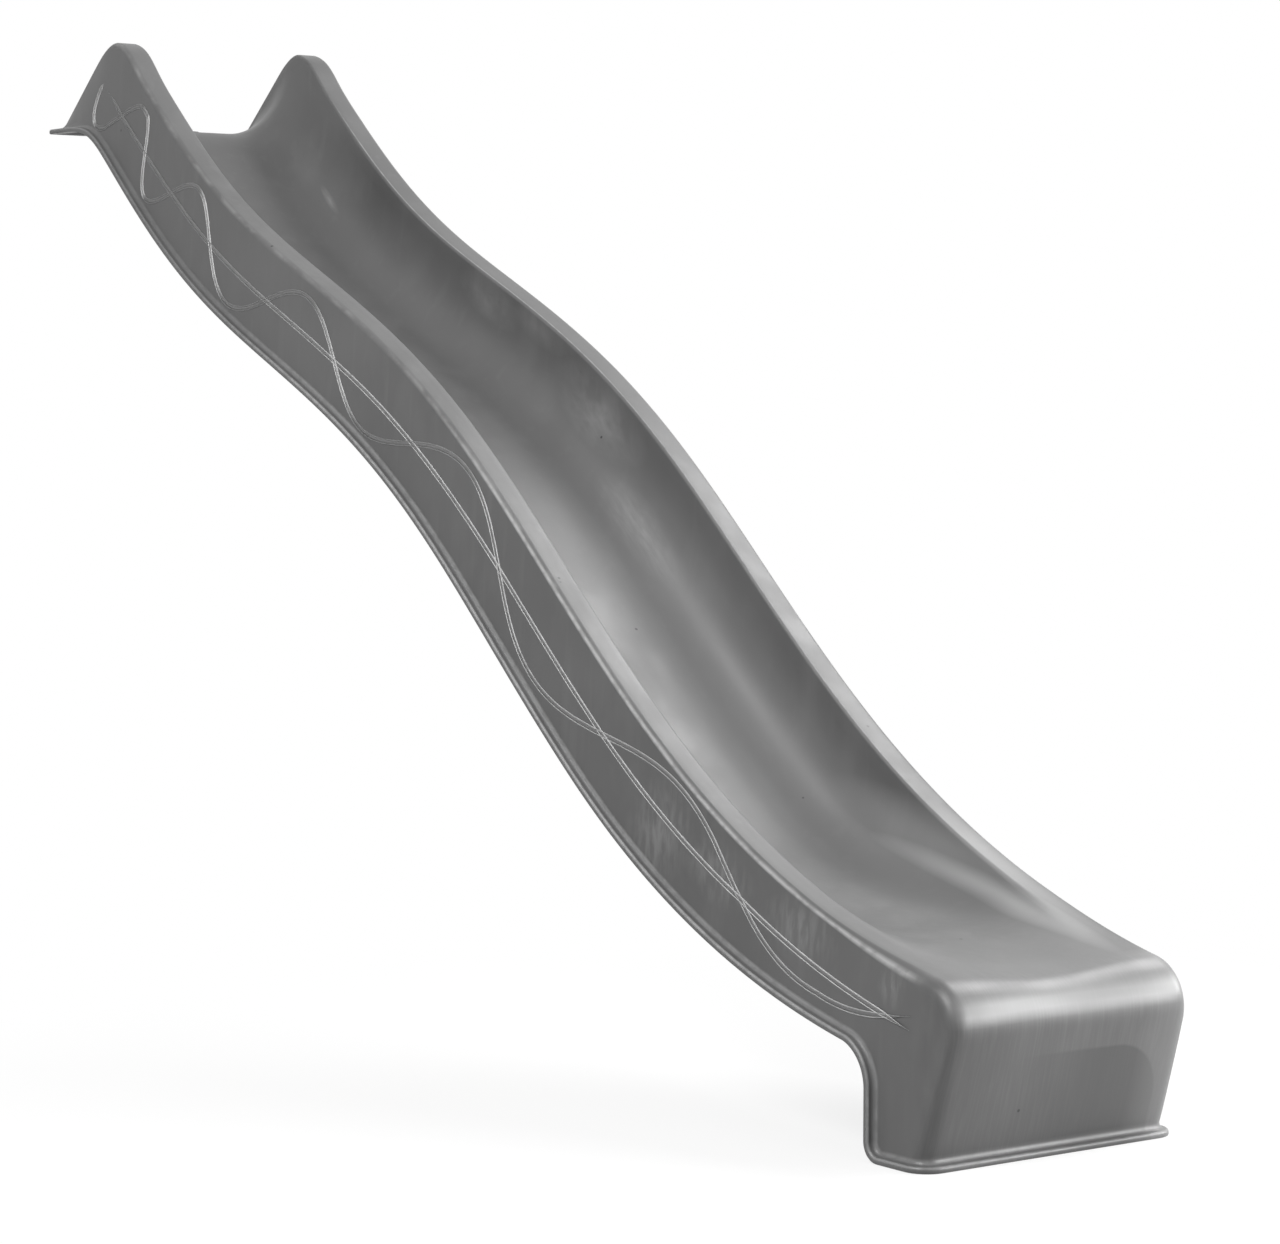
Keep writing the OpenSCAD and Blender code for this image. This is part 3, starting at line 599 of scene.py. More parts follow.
# %% One mesh of skin, lining and flange
rim_points = [edge_point(i, j, p[0] * np.array(way), p[1]) for i, j, way in rim for p in flange_profile(i)]
points = np.concatenate([skin.reshape(-1, 3), lining.reshape(-1, 3), np.array(rim_points)])
count = n_st * n_rows
ids = np.arange(count).reshape(n_st, n_rows)
quads = np.stack([ids[:-1, :-1], ids[:-1, 1:], ids[1:, 1:], ids[1:, :-1]], -1).reshape(-1, 4)
faces = [tuple(f) for f in quads.tolist()] + [tuple(f) for f in (quads[:, ::-1] + count).tolist()]
for e in range(len(rim)):
    g = (e + 1) % len(rim)
    w0, w1 = ids[rim[e][0], rim[e][1]], ids[rim[g][0], rim[g][1]]
    first0, first1 = 2 * count + PROFILE * e, 2 * count + PROFILE * g
    strip0 = [w0] + [first0 + k for k in range(PROFILE)] + [w0 + count]
    strip1 = [w1] + [first1 + k for k in range(PROFILE)] + [w1 + count]
    for k in range(PROFILE + 1):
        face = [int(strip0[k]), int(strip1[k]), int(strip1[k + 1]), int(strip0[k + 1])]
        face = [v for m, v in enumerate(face) if v != face[m - 1]]
        if len(face) >= 3:
            faces.append(tuple(face))
shell_mesh = bpy.data.meshes.new("moulded_shell")
shell_mesh.from_pydata((points / 1000).tolist(), [], faces)
shell_mesh.validate()
shell_mesh.update()
print("shell faces", len(shell_mesh.polygons), "points", len(shell_mesh.vertices))

# %% [markdown]
# ### Where the shell is rubbed, and where highlights and shade are painted
# Hands and weather make the rail's hard outer corner pale, and a painted highlight lies on it too.
# Thin pale lines along the rails' corners and the flange are painted highlights, a thin dark line
# just inside each rail's corner near the foot is painted shade, and a pale line on the far rail's
# inner edge is a painted highlight. A mask painted by hand could say where, but the rows of the loft
# already run along those edges. So two values are kept on the points: zone says how pale the rail's
# corner is, from rubbing and a painted highlight, and line is above nought for a painted highlight
# and below it for painted shade.

# %% Values on the points
walk = STATION["walk"]


def run_of(start, grows, end, fades):
    """From 0 to 1 where a run along the course starts, and back to 0 where it ends."""
    return ease((walk - start) / grows) * (1 - ease((walk - end) / fades))


corner_wear_and_highlight = np.zeros(len(points), np.float32)
# The rail's corner is pale from rubbing and a painted highlight, but not round the foot.
corner_pale_before_foot = 1 - ease((walk - 2560) / 160)
corner_wear_and_highlight[:count] = (np.tile(tags, n_st).reshape(n_st, n_rows) * corner_pale_before_foot[:, None]).ravel()
line = np.zeros(len(points), np.float32)
corner = np.zeros((n_st, n_rows), np.float32)
low_run, last_run = run_of(1350, 350, 2800, 60), run_of(2000, 300, 2800, 60)
# Pale lines on the rails' outer corners over the lower course: painted highlights.
for row, share in ((WALL_STEPS + 2, 0.6), (WALL_STEPS + 3, 1.0), (WALL_STEPS + 4, 0.5)):
    corner[:, row] = share * low_run
    corner[:, n_rows - 1 - row] = 0.5 * share * low_run
# Dark lines just inside them near the foot: painted shade.
for row, share in ((WALL_STEPS + 6, -0.6), (WALL_STEPS + 7, -1.0), (WALL_STEPS + 8, -0.4)):
    corner[:, row] = corner[:, n_rows - 1 - row] = share * last_run
# A pale line on the far rail's inner edge: a painted highlight.
inner_row = WALL_STEPS + CORNER_STEPS + BAND_STEPS + 1
corner[:, n_rows - 1 - inner_row] = 0.55 * run_of(300, 200, 2300, 200)
line[:count] = corner.ravel()
# Pale lines along the flange's edges: painted highlights, stronger down the course.
FLANGE_PAINTED_HIGHLIGHTS = [0.45, 0.2, 0.0, 0.0, 0.1, 0.6, 0.75, 0.55, 0.15, 0.0, 0.0, 0.0]
for e, (i, j, way) in enumerate(rim):
    strength = 0.35 + 0.65 * float(ease((walk[i] - 600) / 600) * (1 - 0.45 * ease((walk[i] - 2700) / 100)))
    line[2 * count + PROFILE * e:2 * count + PROFILE * (e + 1)] = strength * np.array(FLANGE_PAINTED_HIGHLIGHTS)
for label, values in (("zone", corner_wear_and_highlight), ("line", line)):
    shell_mesh.attributes.new(label, "FLOAT", "POINT").data.foreach_set("value", values)
shell_mesh.shade_smooth()
shell = add_object("moulded_shell", shell_mesh)
print("rubbed and highlit points", int((corner_wear_and_highlight > 0).sum()), "pale", int((line > 0).sum()), "dark", int((line < 0).sum()))

# %% [markdown]
# ### Holes
# The lip has two screw holes with flat seats, and the trough's floor a bore with a seat on each
# side for the water inlet. They are drilled after moulding on the real slide, and cut after the
# loft here. Leaving them out of the loft keeps its rows even, and a Boolean cuts them clean.

# %% Sizes of the holes, in millimetres
SCREW_Y, SCREW_HOLE_R, COVER_SEAT_R, COVER_SEAT_DEEP = 50.0, 3.5, 13.6, 0.3
INLET_AT, STEM_HOLE_R, RING_SEAT_R, RING_SEAT_DEEP = 124.0, 9.4, 16.5, 0.7
PAST, CUTTER_SIDES = 30.0, 72
inlet_a = float(slope(INLET_AT))
floor_h = float(mix(WALL, SIDE_H - TROUGH_DEPTH, ease((INLET_AT - LIP_RUN) / ENTRY_LEN)))
inlet_xz = lower(INLET_AT) + floor_h * normal(inlet_a)
print("inlet at", inlet_xz.round(2), "tilted", round(inlet_a, 2))


# %% Cut the holes
def cutter(parts, name):
    """Cylinders given as (x, y, z, tilt, radius, from, to) in millimetres, as one object to cut with."""
    verts, polys = [], []
    for x, y, z, tilt, radius, z0, z1 in parts:
        place = Matrix.Translation((x, y, z)) @ Matrix.Rotation(math.radians(tilt), 4, "Y")
        first = len(verts)
        for end in (z0, z1):
            for k in range(CUTTER_SIDES):
                a = 2 * math.pi * k / CUTTER_SIDES
                spot = place @ Vector((radius * math.cos(a), radius * math.sin(a), end))
                verts.append(tuple(c / 1000 for c in spot))
        last = first + CUTTER_SIDES
        polys.append(tuple(range(last - 1, first - 1, -1)))
        polys.append(tuple(range(last, last + CUTTER_SIDES)))
        for k in range(CUTTER_SIDES):
            after = (k + 1) % CUTTER_SIDES
            polys.append((first + k, first + after, last + after, last + k))
    mesh = bpy.data.meshes.new(name)
    mesh.from_pydata(verts, [], polys)
    return add_object(name, mesh)


def made_plain(thing):
    """The mesh that an object's modifiers make, put in place of its own. The modifiers go."""
    bpy.context.view_layer.update()
    solid = bpy.data.meshes.new_from_object(thing.evaluated_get(bpy.context.evaluated_depsgraph_get()))
    thing.modifiers.clear()
    thing.data = solid


inlet = (inlet_xz[0], 0, inlet_xz[1], inlet_a)
through = [(0, y, 0, 0, SCREW_HOLE_R, -20, PAST) for y in (-SCREW_Y, SCREW_Y)]
through += [(*inlet, STEM_HOLE_R, -PAST, PAST)]
above = [(0, y, 0, 0, COVER_SEAT_R, WALL - COVER_SEAT_DEEP, PAST) for y in (-SCREW_Y, SCREW_Y)]
above += [(*inlet, RING_SEAT_R, -RING_SEAT_DEEP, 25)]
below = [(*inlet, RING_SEAT_R, -PAST, RING_SEAT_DEEP - WALL)]
for k, parts in enumerate((through, above, below)):
    tool = cutter(parts, "cutter_%d" % k)
    cut = shell.modifiers.new("cut", "BOOLEAN")
    cut.operation, cut.solver, cut.object = "DIFFERENCE", "EXACT", tool
    made_plain(shell)
    bpy.data.objects.remove(tool)
shell.data.name = "moulded_shell"
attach(shell, "slide")
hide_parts("slide_shell")
print("after the cuts", len(shell.data.polygons), "faces")

# %% [markdown]
# ## Raised ornament
# On each side wall two beads are moulded: one follows the wall's middle, and the other swings
# above and below it in waves that get longer towards the foot. Each is a flat band with a thin
# ridge along both edges. A bump in the finish would look flat at the edge of the wall, so they
# are real forms. A Geometry Nodes tree lays them along a path, because both follow the wall and
# taper out at their ends. The ridges are rubbed palest, and a painted highlight lies on the beads
# where they run steeply down the wall and further down the course.

# %% Where the two beads run
# Lengths are along the wall's middle line and offsets are across it, in millimetres. The
# crossings are those of the photographed wave, and one smooth curve is fitted through them.
PATH_FROM, PATH_POINTS = 40, 2400
fine = np.linspace(PATH_FROM, NOSE_AT, PATH_POINTS)
middle = lower(fine) + (0.5 * side(fine))[:, None] * normal(slope(fine))
middle_len = np.r_[0, np.cumsum(np.linalg.norm(np.diff(middle, axis=0), axis=1))]
CROSSINGS = [217, 324, 451, 624, 809, 1063, 1354, 1640, 1990, 2405, 2735]
FIRST_TURN = [(130, 17), (121, -8), (117, -33), (119, -46), (127, -57), (142, -62), (160, -60), (177, -53),
              (195, -32), (216, -5), (234, 23), (251, 45), (264, 54)]
LINE_AT = [146, 217, 450, 1060, 1350, 1640, 2400, 2730, 2787]
LINE_OFF = [9.0, -2.0, 1.0, -3.0, 0.5, 5.0, 6.0, -9.0, -13.0]
WAVE_TURNS, WAVE_OFF_AT, WAVE_OFF = (0.62, 10.2), [2300, 2600], [57, 31]
order = np.arange(len(CROSSINGS))
CROSS_FIT = np.polyfit(order, CROSSINGS, 6)
misfit = float(abs(np.polyval(CROSS_FIT, order) - CROSSINGS).max())
print("wave crosses the line", len(CROSSINGS), "times, fitted within", round(misfit, 1), "mm")


# %% Paths of the beads, on the wall's own surface
def on_wall(length, off):
    """Points of the near wall at a length along its middle line and a distance off it."""
    q_at = np.interp(length, middle_len, fine)
    n = normal(slope(q_at))
    h = 0.5 * side(q_at) + off
    share = (h - plate_h(q_at)) / np.maximum(top_h(q_at) - OUTER_R - plate_h(q_at), 1)
    y = mix(BASE_HALF, BASE_HALF - DRAFT, np.clip(share, -0.2, 1.2))
    xz = lower(q_at) + h[:, None] * n
    return np.stack([xz[:, 0], -y, xz[:, 1]], 1)


def smoothed(corners, rounds=3):
    """A polyline with its corners cut away a few times."""
    p = np.array(corners, float)
    for _ in range(rounds):
        cut = np.stack([0.75 * p[:-1] + 0.25 * p[1:], 0.25 * p[:-1] + 0.75 * p[1:]], 1).reshape(-1, 2)
        p = np.concatenate([p[:1], cut, p[-1:]])
    return p


def line_path():
    """The plain bead: its path, how thick it is, and how pale its ridges and its flat are, from rubbing and a
    painted highlight that grows down the course.
    """
    length = np.linspace(LINE_AT[0], LINE_AT[-1], 460)
    path = on_wall(length, np.interp(length, LINE_AT, LINE_OFF))
    ends = np.minimum(ease((length - length[0]) / 60), ease((length[-1] - length) / 70))
    # Ridges paler down the course: rubbing and a painted highlight.
    ridges = 0.14 + 0.76 * ease((length - 500) / 800)
    return path, ends, ridges, 0.15 + 0 * length


def wave_path():
    """The waved bead: the same four. It is palest where it runs down the wall, where it carries a painted
    highlight.
    """
    turns = np.linspace(*WAVE_TURNS, 900)
    length = np.polyval(CROSS_FIT, turns)
    off = np.interp(length, LINE_AT, LINE_OFF)
    off = off + np.interp(length, WAVE_OFF_AT, WAVE_OFF) * np.sin(np.pi * turns)
    track = smoothed(FIRST_TURN + [(length[0], off[0])])
    length, off = np.r_[track[:-1, 0], length], np.r_[track[:-1, 1], off]
    path = on_wall(length, off)
    run = np.r_[0, np.cumsum(np.linalg.norm(np.diff(path, axis=0), axis=1))]
    keep = np.r_[True, np.diff(run) > 0.05]
    path, run, length = path[keep], run[keep], length[keep]
    # Where the wave runs steeply down, its ridges and flat carry a painted highlight.
    fall = np.clip(-np.gradient(path[:, 2], run), 0, 1)
    steep = ease((fall - 0.55) / 0.4)
    low = ease((length - 1300) / 500)
    ends = np.minimum(ease(run / 12), ease((run[-1] - run) / 90))
    ridges = np.maximum(0.15 + 0.85 * steep, 0.15 + 0.45 * low)
    return path, ends, ridges, 0.1 + 0.65 * steep * (1 - ease((length - 1000) / 600))


PATHS = {"line": line_path(), "wave": wave_path()}
print("points along the beads", {kind: len(given[0]) for kind, given in PATHS.items()})

# %% Bead tree
BEAD_SIZES = {"Width": 0.0070, "Flat Height": 0.0005, "Ridge Radius": 0.0011, "Ridge Steps": 10}


def bead_tree():
    """A bead along a path: two ridges and the flat between them, thinner towards both ends."""
    tree = bpy.data.node_groups.new("bead along a path", "GeometryNodeTree")

    def socket(label, kind, in_out="INPUT"):
        """A named socket of the tree."""
        return tree.interface.new_socket(label, in_out=in_out, socket_type="NodeSocket" + kind)

    socket("Path", "Geometry")
    for label, size in BEAD_SIZES.items():
        socket(label, "Int" if label == "Ridge Steps" else "Float").default_value = size
    socket("Ridge Finish", "Material")
    socket("Flat Finish", "Material")
    socket("Bead", "Geometry", "OUTPUT")
    given = tree.nodes.new("NodeGroupInput").outputs
    taper = add_node(tree, "GeometryNodeInputNamedAttribute", {"Name": "taper"}, data_type="FLOAT")
    taper = taper.outputs["Attribute"]
    curve = add_node(tree, "GeometryNodeMeshToCurve", {"Mesh": given["Path"]})
    level = add_node(tree, "GeometryNodeSetCurveNormal",
                     {"Curve": curve.outputs[0], "Normal": (0.0, 1.0, 0.0)}, mode="FREE")
    sized = add_node(tree, "GeometryNodeSetCurveRadius", {"Curve": level.outputs[0], "Radius": taper})
    ring = add_node(tree, "GeometryNodeCurvePrimitiveCircle",
                    {"Resolution": given["Ridge Steps"], "Radius": given["Ridge Radius"]})
    both = tree.nodes.new("GeometryNodeJoinGeometry")
    for half in (0.5, -0.5):
        offset = add_node(tree, "ShaderNodeCombineXYZ", {"Y": chained("MULTIPLY", given["Width"], half)})
        moved = add_node(tree, "GeometryNodeTransform",
                         {"Geometry": ring.outputs[0], "Translation": offset.outputs[0]})
        tree.links.new(moved.outputs[0], both.inputs[0])
    block = add_node(tree, "GeometryNodeCurvePrimitiveQuadrilateral",
                     {"Width": chained("MULTIPLY", given["Flat Height"], 2.0), "Height": given["Width"]})
    joined = tree.nodes.new("GeometryNodeJoinGeometry")
    for profile, finish in ((both, "Ridge Finish"), (block, "Flat Finish")):
        tube = add_node(tree, "GeometryNodeCurveToMesh",
                        {"Curve": sized.outputs[0], "Profile Curve": profile.outputs[0], "Fill Caps": True})
        if "Scale" in tube.inputs:
            tree.links.new(taper, tube.inputs["Scale"])
        plain = add_node(tree, "GeometryNodeRealizeInstances", {"Geometry": tube.outputs[0]})
        dressed = add_node(tree, "GeometryNodeSetMaterial",
                           {"Geometry": plain.outputs[0], "Material": given[finish]})
        tree.links.new(dressed.outputs[0], joined.inputs[0])
    result = tree.nodes.new("NodeGroupOutput")
    tree.links.new(joined.outputs[0], result.inputs[0])
    return tree


# %% [markdown]
# ## Finish of the shell
# The shell is satin moulded polyethylene in one grey, coloured in the mass: a wide soft sheen
# with no mirror in it. What keeps it from looking flat is slight. Clouds of tone about 300 mm
# across come from the mould, smudges about 70 mm across from hands, and faint upright streaks
# 25 mm wide from rain. Hard edges are rubbed pale and carry painted highlights, thin lines of
# painted shade lie beside them, and a few scuffs and dark specks mark it. Painted light makes the
# lower trough brighter and the upper trough darker, a painted reflection lies on the trough's far
# wall and fillet, and the foot's front has painted highlights and painted shade. A painted picture
# would need a map for this long course. Noise in the object's own metres needs none, and keeps
# its size everywhere.

# %% Helpers for patterns
METRE = 1000.0


def cloudy(where, size, detail=3.0, stretch=(1, 1, 1)):
    """Soft marks of a size in millimetres, drawn out along an axis by a small stretch."""
    placed = add_node(where, "ShaderNodeMapping", {"Vector": where, "Scale": stretch}).outputs[0]
    scale = METRE / size
    made = add_node(where, "ShaderNodeTexNoise", {"Vector": placed, "Scale": scale, "Detail": detail})
    return made.outputs["Fac"]


def product(*shares):
    """Shares multiplied together: sockets, numbers and ranges.

    A range is a socket, the two values it is read between, and the shares that they stand for.
    """
    labels = ("Value", "From Min", "From Max", "To Min", "To Max")
    factors = []
    for share in shares:
        if isinstance(share, tuple):
            read = dict(zip(labels, share))
            share = add_node(share[0], "ShaderNodeMapRange", read, clamp=True).outputs[0]
        factors.append(share)
    return chained("MULTIPLY", *factors)


def marked(tone, colour, *shares):
    """A tone turned towards a colour, as far as the product of its shares says."""
    share = product(*shares)
    mixed = {0: share, 6: tone, 7: linear(colour)}
    return add_node(share, "ShaderNodeMix", mixed, data_type="RGBA").outputs[2]


def away_from(where, place, size, downhill=0.0):
    """Distance from a place, counted in a size of its own along each axis, turned downhill by degrees."""
    turned = {"Vector": where, "Center": place, "Angle": math.radians(-downhill)}
    spot = add_node(where, "ShaderNodeVectorRotate", turned, rotation_type="Y_AXIS").outputs[0]
    for operation, by in (("SUBTRACT", place), ("DIVIDE", size)):
        spot = add_node(where, "ShaderNodeVectorMath", {0: spot, 1: by}, operation=operation).outputs[0]
    return add_node(where, "ShaderNodeVectorMath", {0: spot}, operation="LENGTH").outputs["Value"]


# %% Tone of the moulding, its rubbed edges, and painted highlights and shade along them
def clouded(where, smudge, streak, colour, pale, dark):
    """Clouds of tone, then the paler smudges and streaks."""
    tone = marked(linear(dark), colour, (cloudy(where, 312.5), 0.35, 0.65, 0, 1))
    tone = marked(tone, pale, (smudge, 0.5, 0.75, 0, 0.5))
    return marked(tone, pale, (streak, 0.58, 0.75, 0, 0.35))


def edge_wear_and_painted_light(where, tone):
    """The rail's corner rubbed pale in patches 22 mm across, with a painted highlight, then the lines of
    painted highlight and painted shade.
    """
    patches = (cloudy(where, 22.22, 5.0, (0.5, 1, 0.5)), 0.42, 0.62, 0.1, 0.8)
    zone = add_node(where, "ShaderNodeAttribute", attribute_name="zone").outputs["Fac"]
    # 808080 on the rail's corner: rubbing and a painted highlight.
    tone = marked(tone, "#808080", (zone, 0.35, 0.9, 0, 1), patches)
    ragged = (cloudy(where, 16.67, 4.0), 0.36, 0.56, 0.6, 1)
    lines = add_node(where, "ShaderNodeAttribute", attribute_name="line").outputs["Fac"]
    # B9B9B9 along the pale lines: painted highlights.
    tone = marked(tone, "#B9B9B9", (lines, 0, 1, 0, 0.85), ragged)
    # 3C3C3C along the dark lines: painted shade.
    return marked(tone, "#3C3C3C", (lines, -1, 0, 0.7, 0))


# %% Painted light in the trough, scuffs, painted reflections and specks
# A mark is a place, its size along each axis, its share, and the degrees it is turned downhill.
# The first four marks, on the trough's far wall over the hump, are partly scuffs and mostly a painted
# reflection; the others are scuffs.
SCUFFS_AND_SHEEN = [
    ((0.817, 0.162, -0.313), (0.11, 0.03, 0.035), 0.40, 27),
    ((0.965, 0.164, -0.367), (0.09, 0.03, 0.025), 0.35, 27),
    ((1.146, 0.160, -0.505), (0.15, 0.05, 0.055), 0.55, 33),
    ((1.297, 0.130, -0.692), (0.15, 0.04, 0.04), 0.40, 38),
    ((0.339, 0.133, -0.123), (0.045, 0.02, 0.006), 0.55, 41),
    ((1.823, -0.219, -1.102), (0.08, 0.02, 0.09), 0.36, 30),
    ((1.960, -0.217, -1.150), (0.09, 0.02, 0.05), 0.36, 20),
    ((2.141, -0.215, -1.209), (0.09, 0.02, 0.05), 0.36, 10),
    ((2.335, -0.214, -1.262), (0.03, 0.02, 0.035), 0.40, 0)]
# Painted reflections: a bright streak in the far fillet of the run-out, and the far wall above it lighter.
PAINTED_SHEEN = [
    ((2.125, 0.149, -1.1854), (0.28, 0.038, 0.019), 0.72, 12.3),
    ((2.03, 0.172, -1.135), (0.34, 0.05, 0.045), 0.42, 15.0)]
OUTSIDE_Y, SPECKS_APART, SPECK_SIZE = -0.2, 111.1, (0.003, 0.003, 0.003)
SPECKS = [
    (1.5338, -0.1942, -0.7508), (1.5390, -0.1960, -0.7580), (1.1581, 0.1521, -0.5443),
    (0.7111, -0.2057, -0.2276), (1.7408, 0.1113, -1.0820), (2.2318, -0.0014, -1.2289),
    (1.8041, 0.1854, -0.9735)]


def painted_trough_light(axes, off_middle, tone):
    """Painted light: the trough is brighter from the hump to the run-out, and painted shade makes its floor a
    little darker above the hump.
    """
    past_hump = product((axes["X"], 1.08, 1.35, 0, 1))
    # 7A7A7A: painted light on the lower trough.
    tone = marked(tone, "#7A7A7A", past_hump, (axes["X"], 2.05, 2.35, 0.5, 0.1),
                  (off_middle, 0.158, 0.174, 1, 0))
    # 3F3F3F: painted shade on the trough's floor above the hump.
    return marked(tone, "#3F3F3F", (past_hump, 0, 1, 0.22, 0), (off_middle, 0.11, 0.15, 1, 0))


def scuffs_and_painted_sheen(where, tone):
    """Scuffs and painted reflections: soft pale marks in the trough, partly scuffs and mostly a painted
    reflection on the far wall, upright scuff strokes 9 mm wide outside, a little wider than real, then the
    painted reflections of the run-out.
    """
    strokes = product((cloudy(where, 9.09, 3.0, (1.0, 1.6, 0.22)), 0.42, 0.64, 0.15, 1))
    soft_marks = product((cloudy(where, 33.33, 3.0, (1.0, 6.0, 0.35)), 0.35, 0.70, 0.35, 1))
    for place, size, share, downhill in SCUFFS_AND_SHEEN:
        near_it = (away_from(where, place, size, downhill), 0.15, 1.0, 1, 0)
        marks = strokes if place[1] < OUTSIDE_Y else soft_marks
        # 9A9A9A: scuffs, and a painted reflection on the far wall over the hump.
        tone = marked(tone, "#9A9A9A", near_it, share, marks)
    for place, size, share, downhill in PAINTED_SHEEN:
        near_it = (away_from(where, place, size, downhill), 0.05, 1.0, share, 0)
        # B2B2B2: painted reflection.
        tone = marked(tone, "#B2B2B2", near_it)
    return tone


def specked(where, tone):
    """Dark specks, 5 mm across so that they show: seven at their places, and one here and there."""
    for place in SPECKS:
        spot = (away_from(where, place, SPECK_SIZE), 0.6, 1.0, 0.85, 0)
        tone = marked(tone, "#222222", spot)
    cells = add_node(where, "ShaderNodeTexVoronoi", {"Vector": where, "Scale": METRE / SPECKS_APART}).outputs
    chance = add_node(where, "ShaderNodeSeparateColor", {"Color": cells["Color"]}).outputs[0]
    spot = (cells["Distance"], 0.018, 0.028, 1, 0)
    return marked(tone, "#262626", spot, (chance, 0.80, 0.82, 0, 1), 0.8)


# %% The foot's front
# The front is brushed by feet in marks 3 mm wide. A patch of painted shade fills most of it, with an 85 mm
# corner; painted highlights lie on the crest over it and on its far edge, and painted shade on its near end.
SHADE_PATCH_Y, SHADE_PATCH_Z = 0.095, -1.441


def painted_shade_patch(axes):
    """One inside the patch of painted shade, nought outside it."""
    beyond = []
    for axis, edge in (("Y", SHADE_PATCH_Y), ("Z", SHADE_PATCH_Z)):
        beyond.append(chained("MAXIMUM", chained("SUBTRACT", axes[axis], edge), 0.0))
    reach = add_node(beyond[0], "ShaderNodeCombineXYZ", {"X": beyond[0], "Y": beyond[1]}).outputs[0]
    reach = add_node(reach, "ShaderNodeVectorMath", {0: reach}, operation="LENGTH").outputs["Value"]
    return product((reach, 0.083, 0.087, 1, 0))


def front_wear_and_painted_light(where, axes, off_middle, tone):
    """Brushed marks, then painted light: a patch of painted shade, painted highlights on the far edge and the
    crest, and painted shade at the near end.
    """
    in_front = product((axes["X"], 2.385, 2.405, 0, 1))
    brushed = (cloudy(where, 29.41, 4.0, (1.0, 9.0, 0.30)), 0.45, 0.75, 0, 0.15)
    tone = marked(tone, "#8C8C8C", in_front, brushed)
    # 4E4E4E: the patch of painted shade.
    tone = marked(tone, "#4E4E4E", in_front, painted_shade_patch(axes), (axes["Y"], -0.09, 0.07, 0, 0.75))
    # 868686: painted highlight on the far edge.
    tone = marked(tone, "#868686", in_front, (axes["Y"], 0.13, 0.2, 0, 0.5))
    # Painted highlight along the crest of the nose.
    crest = product((axes["Z"], -1.306, -1.29, 0, 1), (axes["Z"], -1.278, -1.26, 0.55, 0),
                    (off_middle, 0.198, 0.211, 1, 0))
    tone = marked(tone, "#A0A0A0", in_front, crest)
    # 3F3F3F: painted shade towards the near end.
    return marked(tone, "#3F3F3F", in_front, (axes["Y"], -0.21, -0.06, 0.2, 0))


# %% Polyethylene
def surface(out, tone, rough, height, strength, distance, metallic=0.0):
    """The shader that ends a material: tone, roughness and a bump."""
    bumped = add_node(out, "ShaderNodeBump", {"Height": height, "Strength": strength, "Distance": distance})
    bsdf = add_node(out, "ShaderNodeBsdfPrincipled",
                    {"Base Color": tone, "Roughness": rough, "Metallic": metallic, "IOR": 1.5,
                     "Normal": bumped.outputs[0]})
    out.id_data.links.new(bsdf.outputs[0], out.inputs["Surface"])


def polyethylene(name, colour, pale, dark, roughness):
    """Satin moulded polyethylene: a soft grey sheen, a little broader and sharper in turn.

    Its bump is the skin's grain, waves 38 mm long where the sheet cooled, and draw marks 8 mm
    wide down the walls. The real grain is too fine to show, so it is drawn about 1 mm across.
    """
    material, out, where = new_material(name)
    axes = add_node(where, "ShaderNodeSeparateXYZ", {"Vector": where}).outputs
    off_middle = add_node(where, "ShaderNodeMath", {0: axes["Y"]}, operation="ABSOLUTE").outputs[0]
    smudge = cloudy(where, 71.43, 4.0, (1, 1, 0.5))
    streak = cloudy(where, 23.81, 2.0, (1, 1, 0.09))
    tone = clouded(where, smudge, streak, colour, pale, dark)
    tone = edge_wear_and_painted_light(where, tone)
    tone = painted_trough_light(axes, off_middle, tone)
    tone = scuffs_and_painted_sheen(where, tone)
    tone = front_wear_and_painted_light(where, axes, off_middle, tone)
    tone = specked(where, tone)
    rough = product((smudge, 0.35, 0.7, roughness - 0.05, roughness + 0.07))
    smoother_nose = product((axes["X"], 2.28, 2.36, 0, 1), (axes["Z"], -1.33, -1.29, 0, 1), -0.02)
    rough = chained("ADD", rough, product(streak, 0.05), smoother_nose)
    grain, waves = cloudy(where, 1.11, 1.0), cloudy(where, 38.46, 2.0)
    draw_marks = cloudy(where, 8.33, 2.0, (1, 1, 0.04))
    height = chained("ADD", product(grain, 0.05), product(waves, 0.5), product(draw_marks, 0.10))
    surface(out, tone, rough, height, 0.12, 0.004)
    return material


shell_finish = polyethylene("satin moulded polyethylene", "#5E5E5E", "#686868", "#555555", 0.40)
shell.data.materials.clear()
shell.data.materials.append(shell_finish)
print("shell's finish has", len(shell_finish.node_tree.nodes), "nodes")


# %% Finish of the beads
def raised_finish(name, share_name, pale):
    """The shell's plastic, paler where an attribute says it is rubbed and painted with a highlight, and a
    little glossier.
    """
    material, out, where = new_material(name)
    patches = (cloudy(where, 25.0), 0.35, 0.6, 0.8, 1)
    rub_and_highlight = add_node(where, "ShaderNodeAttribute", attribute_name=share_name).outputs["Fac"]
    # The pale colour stands for rubbing and a painted highlight.
    tone = marked(linear("#606060"), pale, rub_and_highlight, patches)
    rough = product((cloudy(where, 11.11, 2.0), 0.3, 0.7, 0.32, 0.44))
    surface(out, tone, rough, cloudy(where, 2.0, 2.0), 0.1, 0.0004)
    return material


ridge_finish = raised_finish("rubbed polyethylene of the ridges, with painted highlights", "rub_and_highlight", "#CCCCCC")
flat_finish = raised_finish("polyethylene between the ridges, with painted highlights", "flat", "#B0B0B0")
print("beads' finishes:", ridge_finish.name, "and", flat_finish.name)

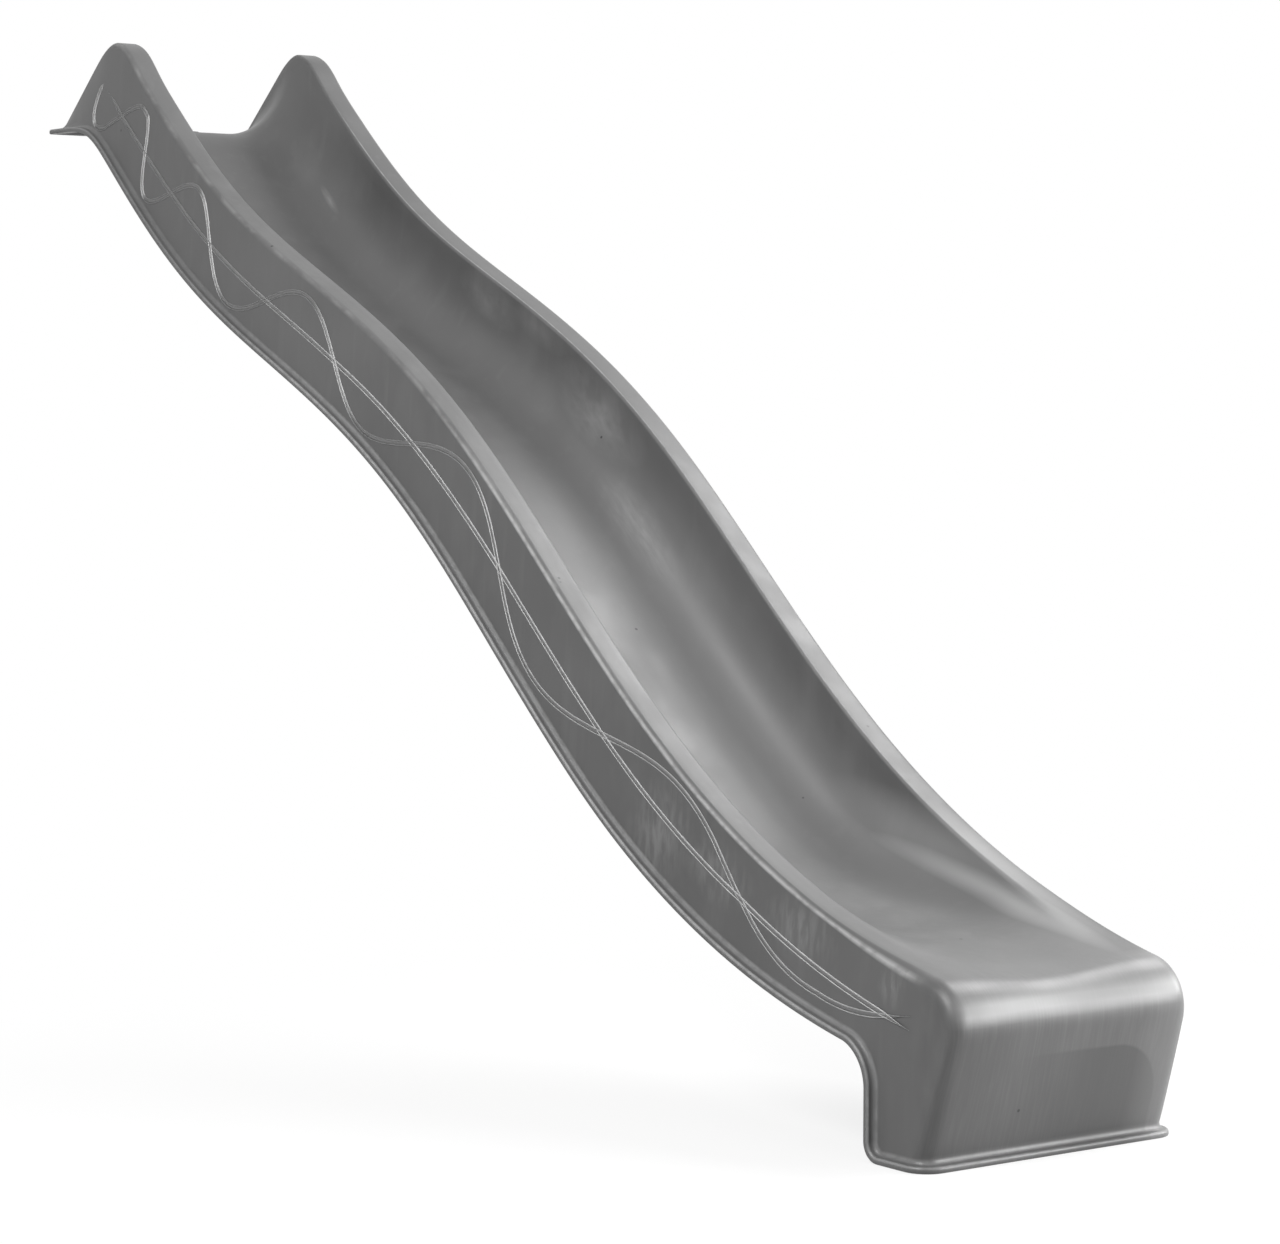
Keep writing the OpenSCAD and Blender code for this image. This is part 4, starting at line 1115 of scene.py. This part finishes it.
# %% Lay the beads
tree = bead_tree()
keys = {item.name: item.identifier for item in tree.interface.items_tree if item.in_out == "INPUT"}
beads = []
for kind, (path, ends, ridges, flat) in PATHS.items():
    for hand, sgn in (("near", 1), ("far", -1)):
        course = path * np.array([1, sgn, 1]) / 1000
        mesh = bpy.data.meshes.new("bead_path")
        mesh.from_pydata(course.tolist(), [(i, i + 1) for i in range(len(course) - 1)], [])
        for label, values in (("taper", np.maximum(ends, 0.05)), ("rub_and_highlight", ridges), ("flat", flat)):
            mesh.attributes.new(label, "FLOAT", "POINT").data.foreach_set("value", values.astype(np.float32))
        bead = add_object("%s_%s_bead" % (hand, kind), mesh)
        layer = bead.modifiers.new("bead", "NODES")
        layer.node_group = tree
        for label, value in (BEAD_SIZES | {"Ridge Finish": ridge_finish, "Flat Finish": flat_finish}).items():
            layer[keys[label]] = value
        made_plain(bead)
        bead.data.shade_smooth()
        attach(bead, "slide")
        beads.append(bead)
print("beads", [(b.name, len(b.data.polygons), [m.name for m in b.data.materials]) for b in beads])

# %% [markdown]
# ## Fittings
# Screws and washers are stainless steel, bright with a soft cloudy gloss. The covers and the
# washer over the nut are satin grey polypropylene, the hose fittings black polyamide with a
# dull shine, and the rings matt black rubber that gives back almost no light. Their clouds are
# about 10 mm across and their grain under 2 mm. One rule makes all four, because they differ
# only in colour, gloss and grain. They keep their CAD meshes, whose shapes are exact.

# %% Fittings' finishes
def moulded(name, colour, pale, roughness, grain=1.43, metallic=0.0):
    """A small part's material: its colour in soft clouds, its gloss a little uneven, its grain fine."""
    material, out, where = new_material(name)
    tone = marked(linear(colour), pale, (cloudy(where, 11.11), 0.35, 0.7, 0, 1))
    rough = product((cloudy(where, 6.25), 0.3, 0.7, roughness - 0.06, roughness + 0.08))
    surface(out, tone, rough, cloudy(where, grain, 2.0), 0.15, 0.0004, metallic)
    return material


finishes = {
    "cover_plastic": moulded("satin grey polypropylene", "#5E5E5E", "#6A6A6A", 0.42),
    "fitting_plastic": moulded("black polyamide", "#1B1B1C", "#262627", 0.38),
    "rubber": moulded("matt black rubber", "#161616", "#202020", 0.78),
    "screw_steel": moulded("stainless steel", "#A9AAAC", "#BDBEBF", 0.30, 2.0, 1.0),
}
slots = {s["node"]: s["material_slot"] for s in frame["record"]["subparts"]}
for name, node in frame["nodes"].items():
    if name == "slide_shell":
        continue
    node.data.materials.clear()
    node.data.materials.append(finishes[slots[name]])
print("finishes", {n: slots[n] for n in frame["nodes"] if n != "slide_shell"})

# %% How the picture's colours are shown
scene.view_settings.view_transform = "Standard"
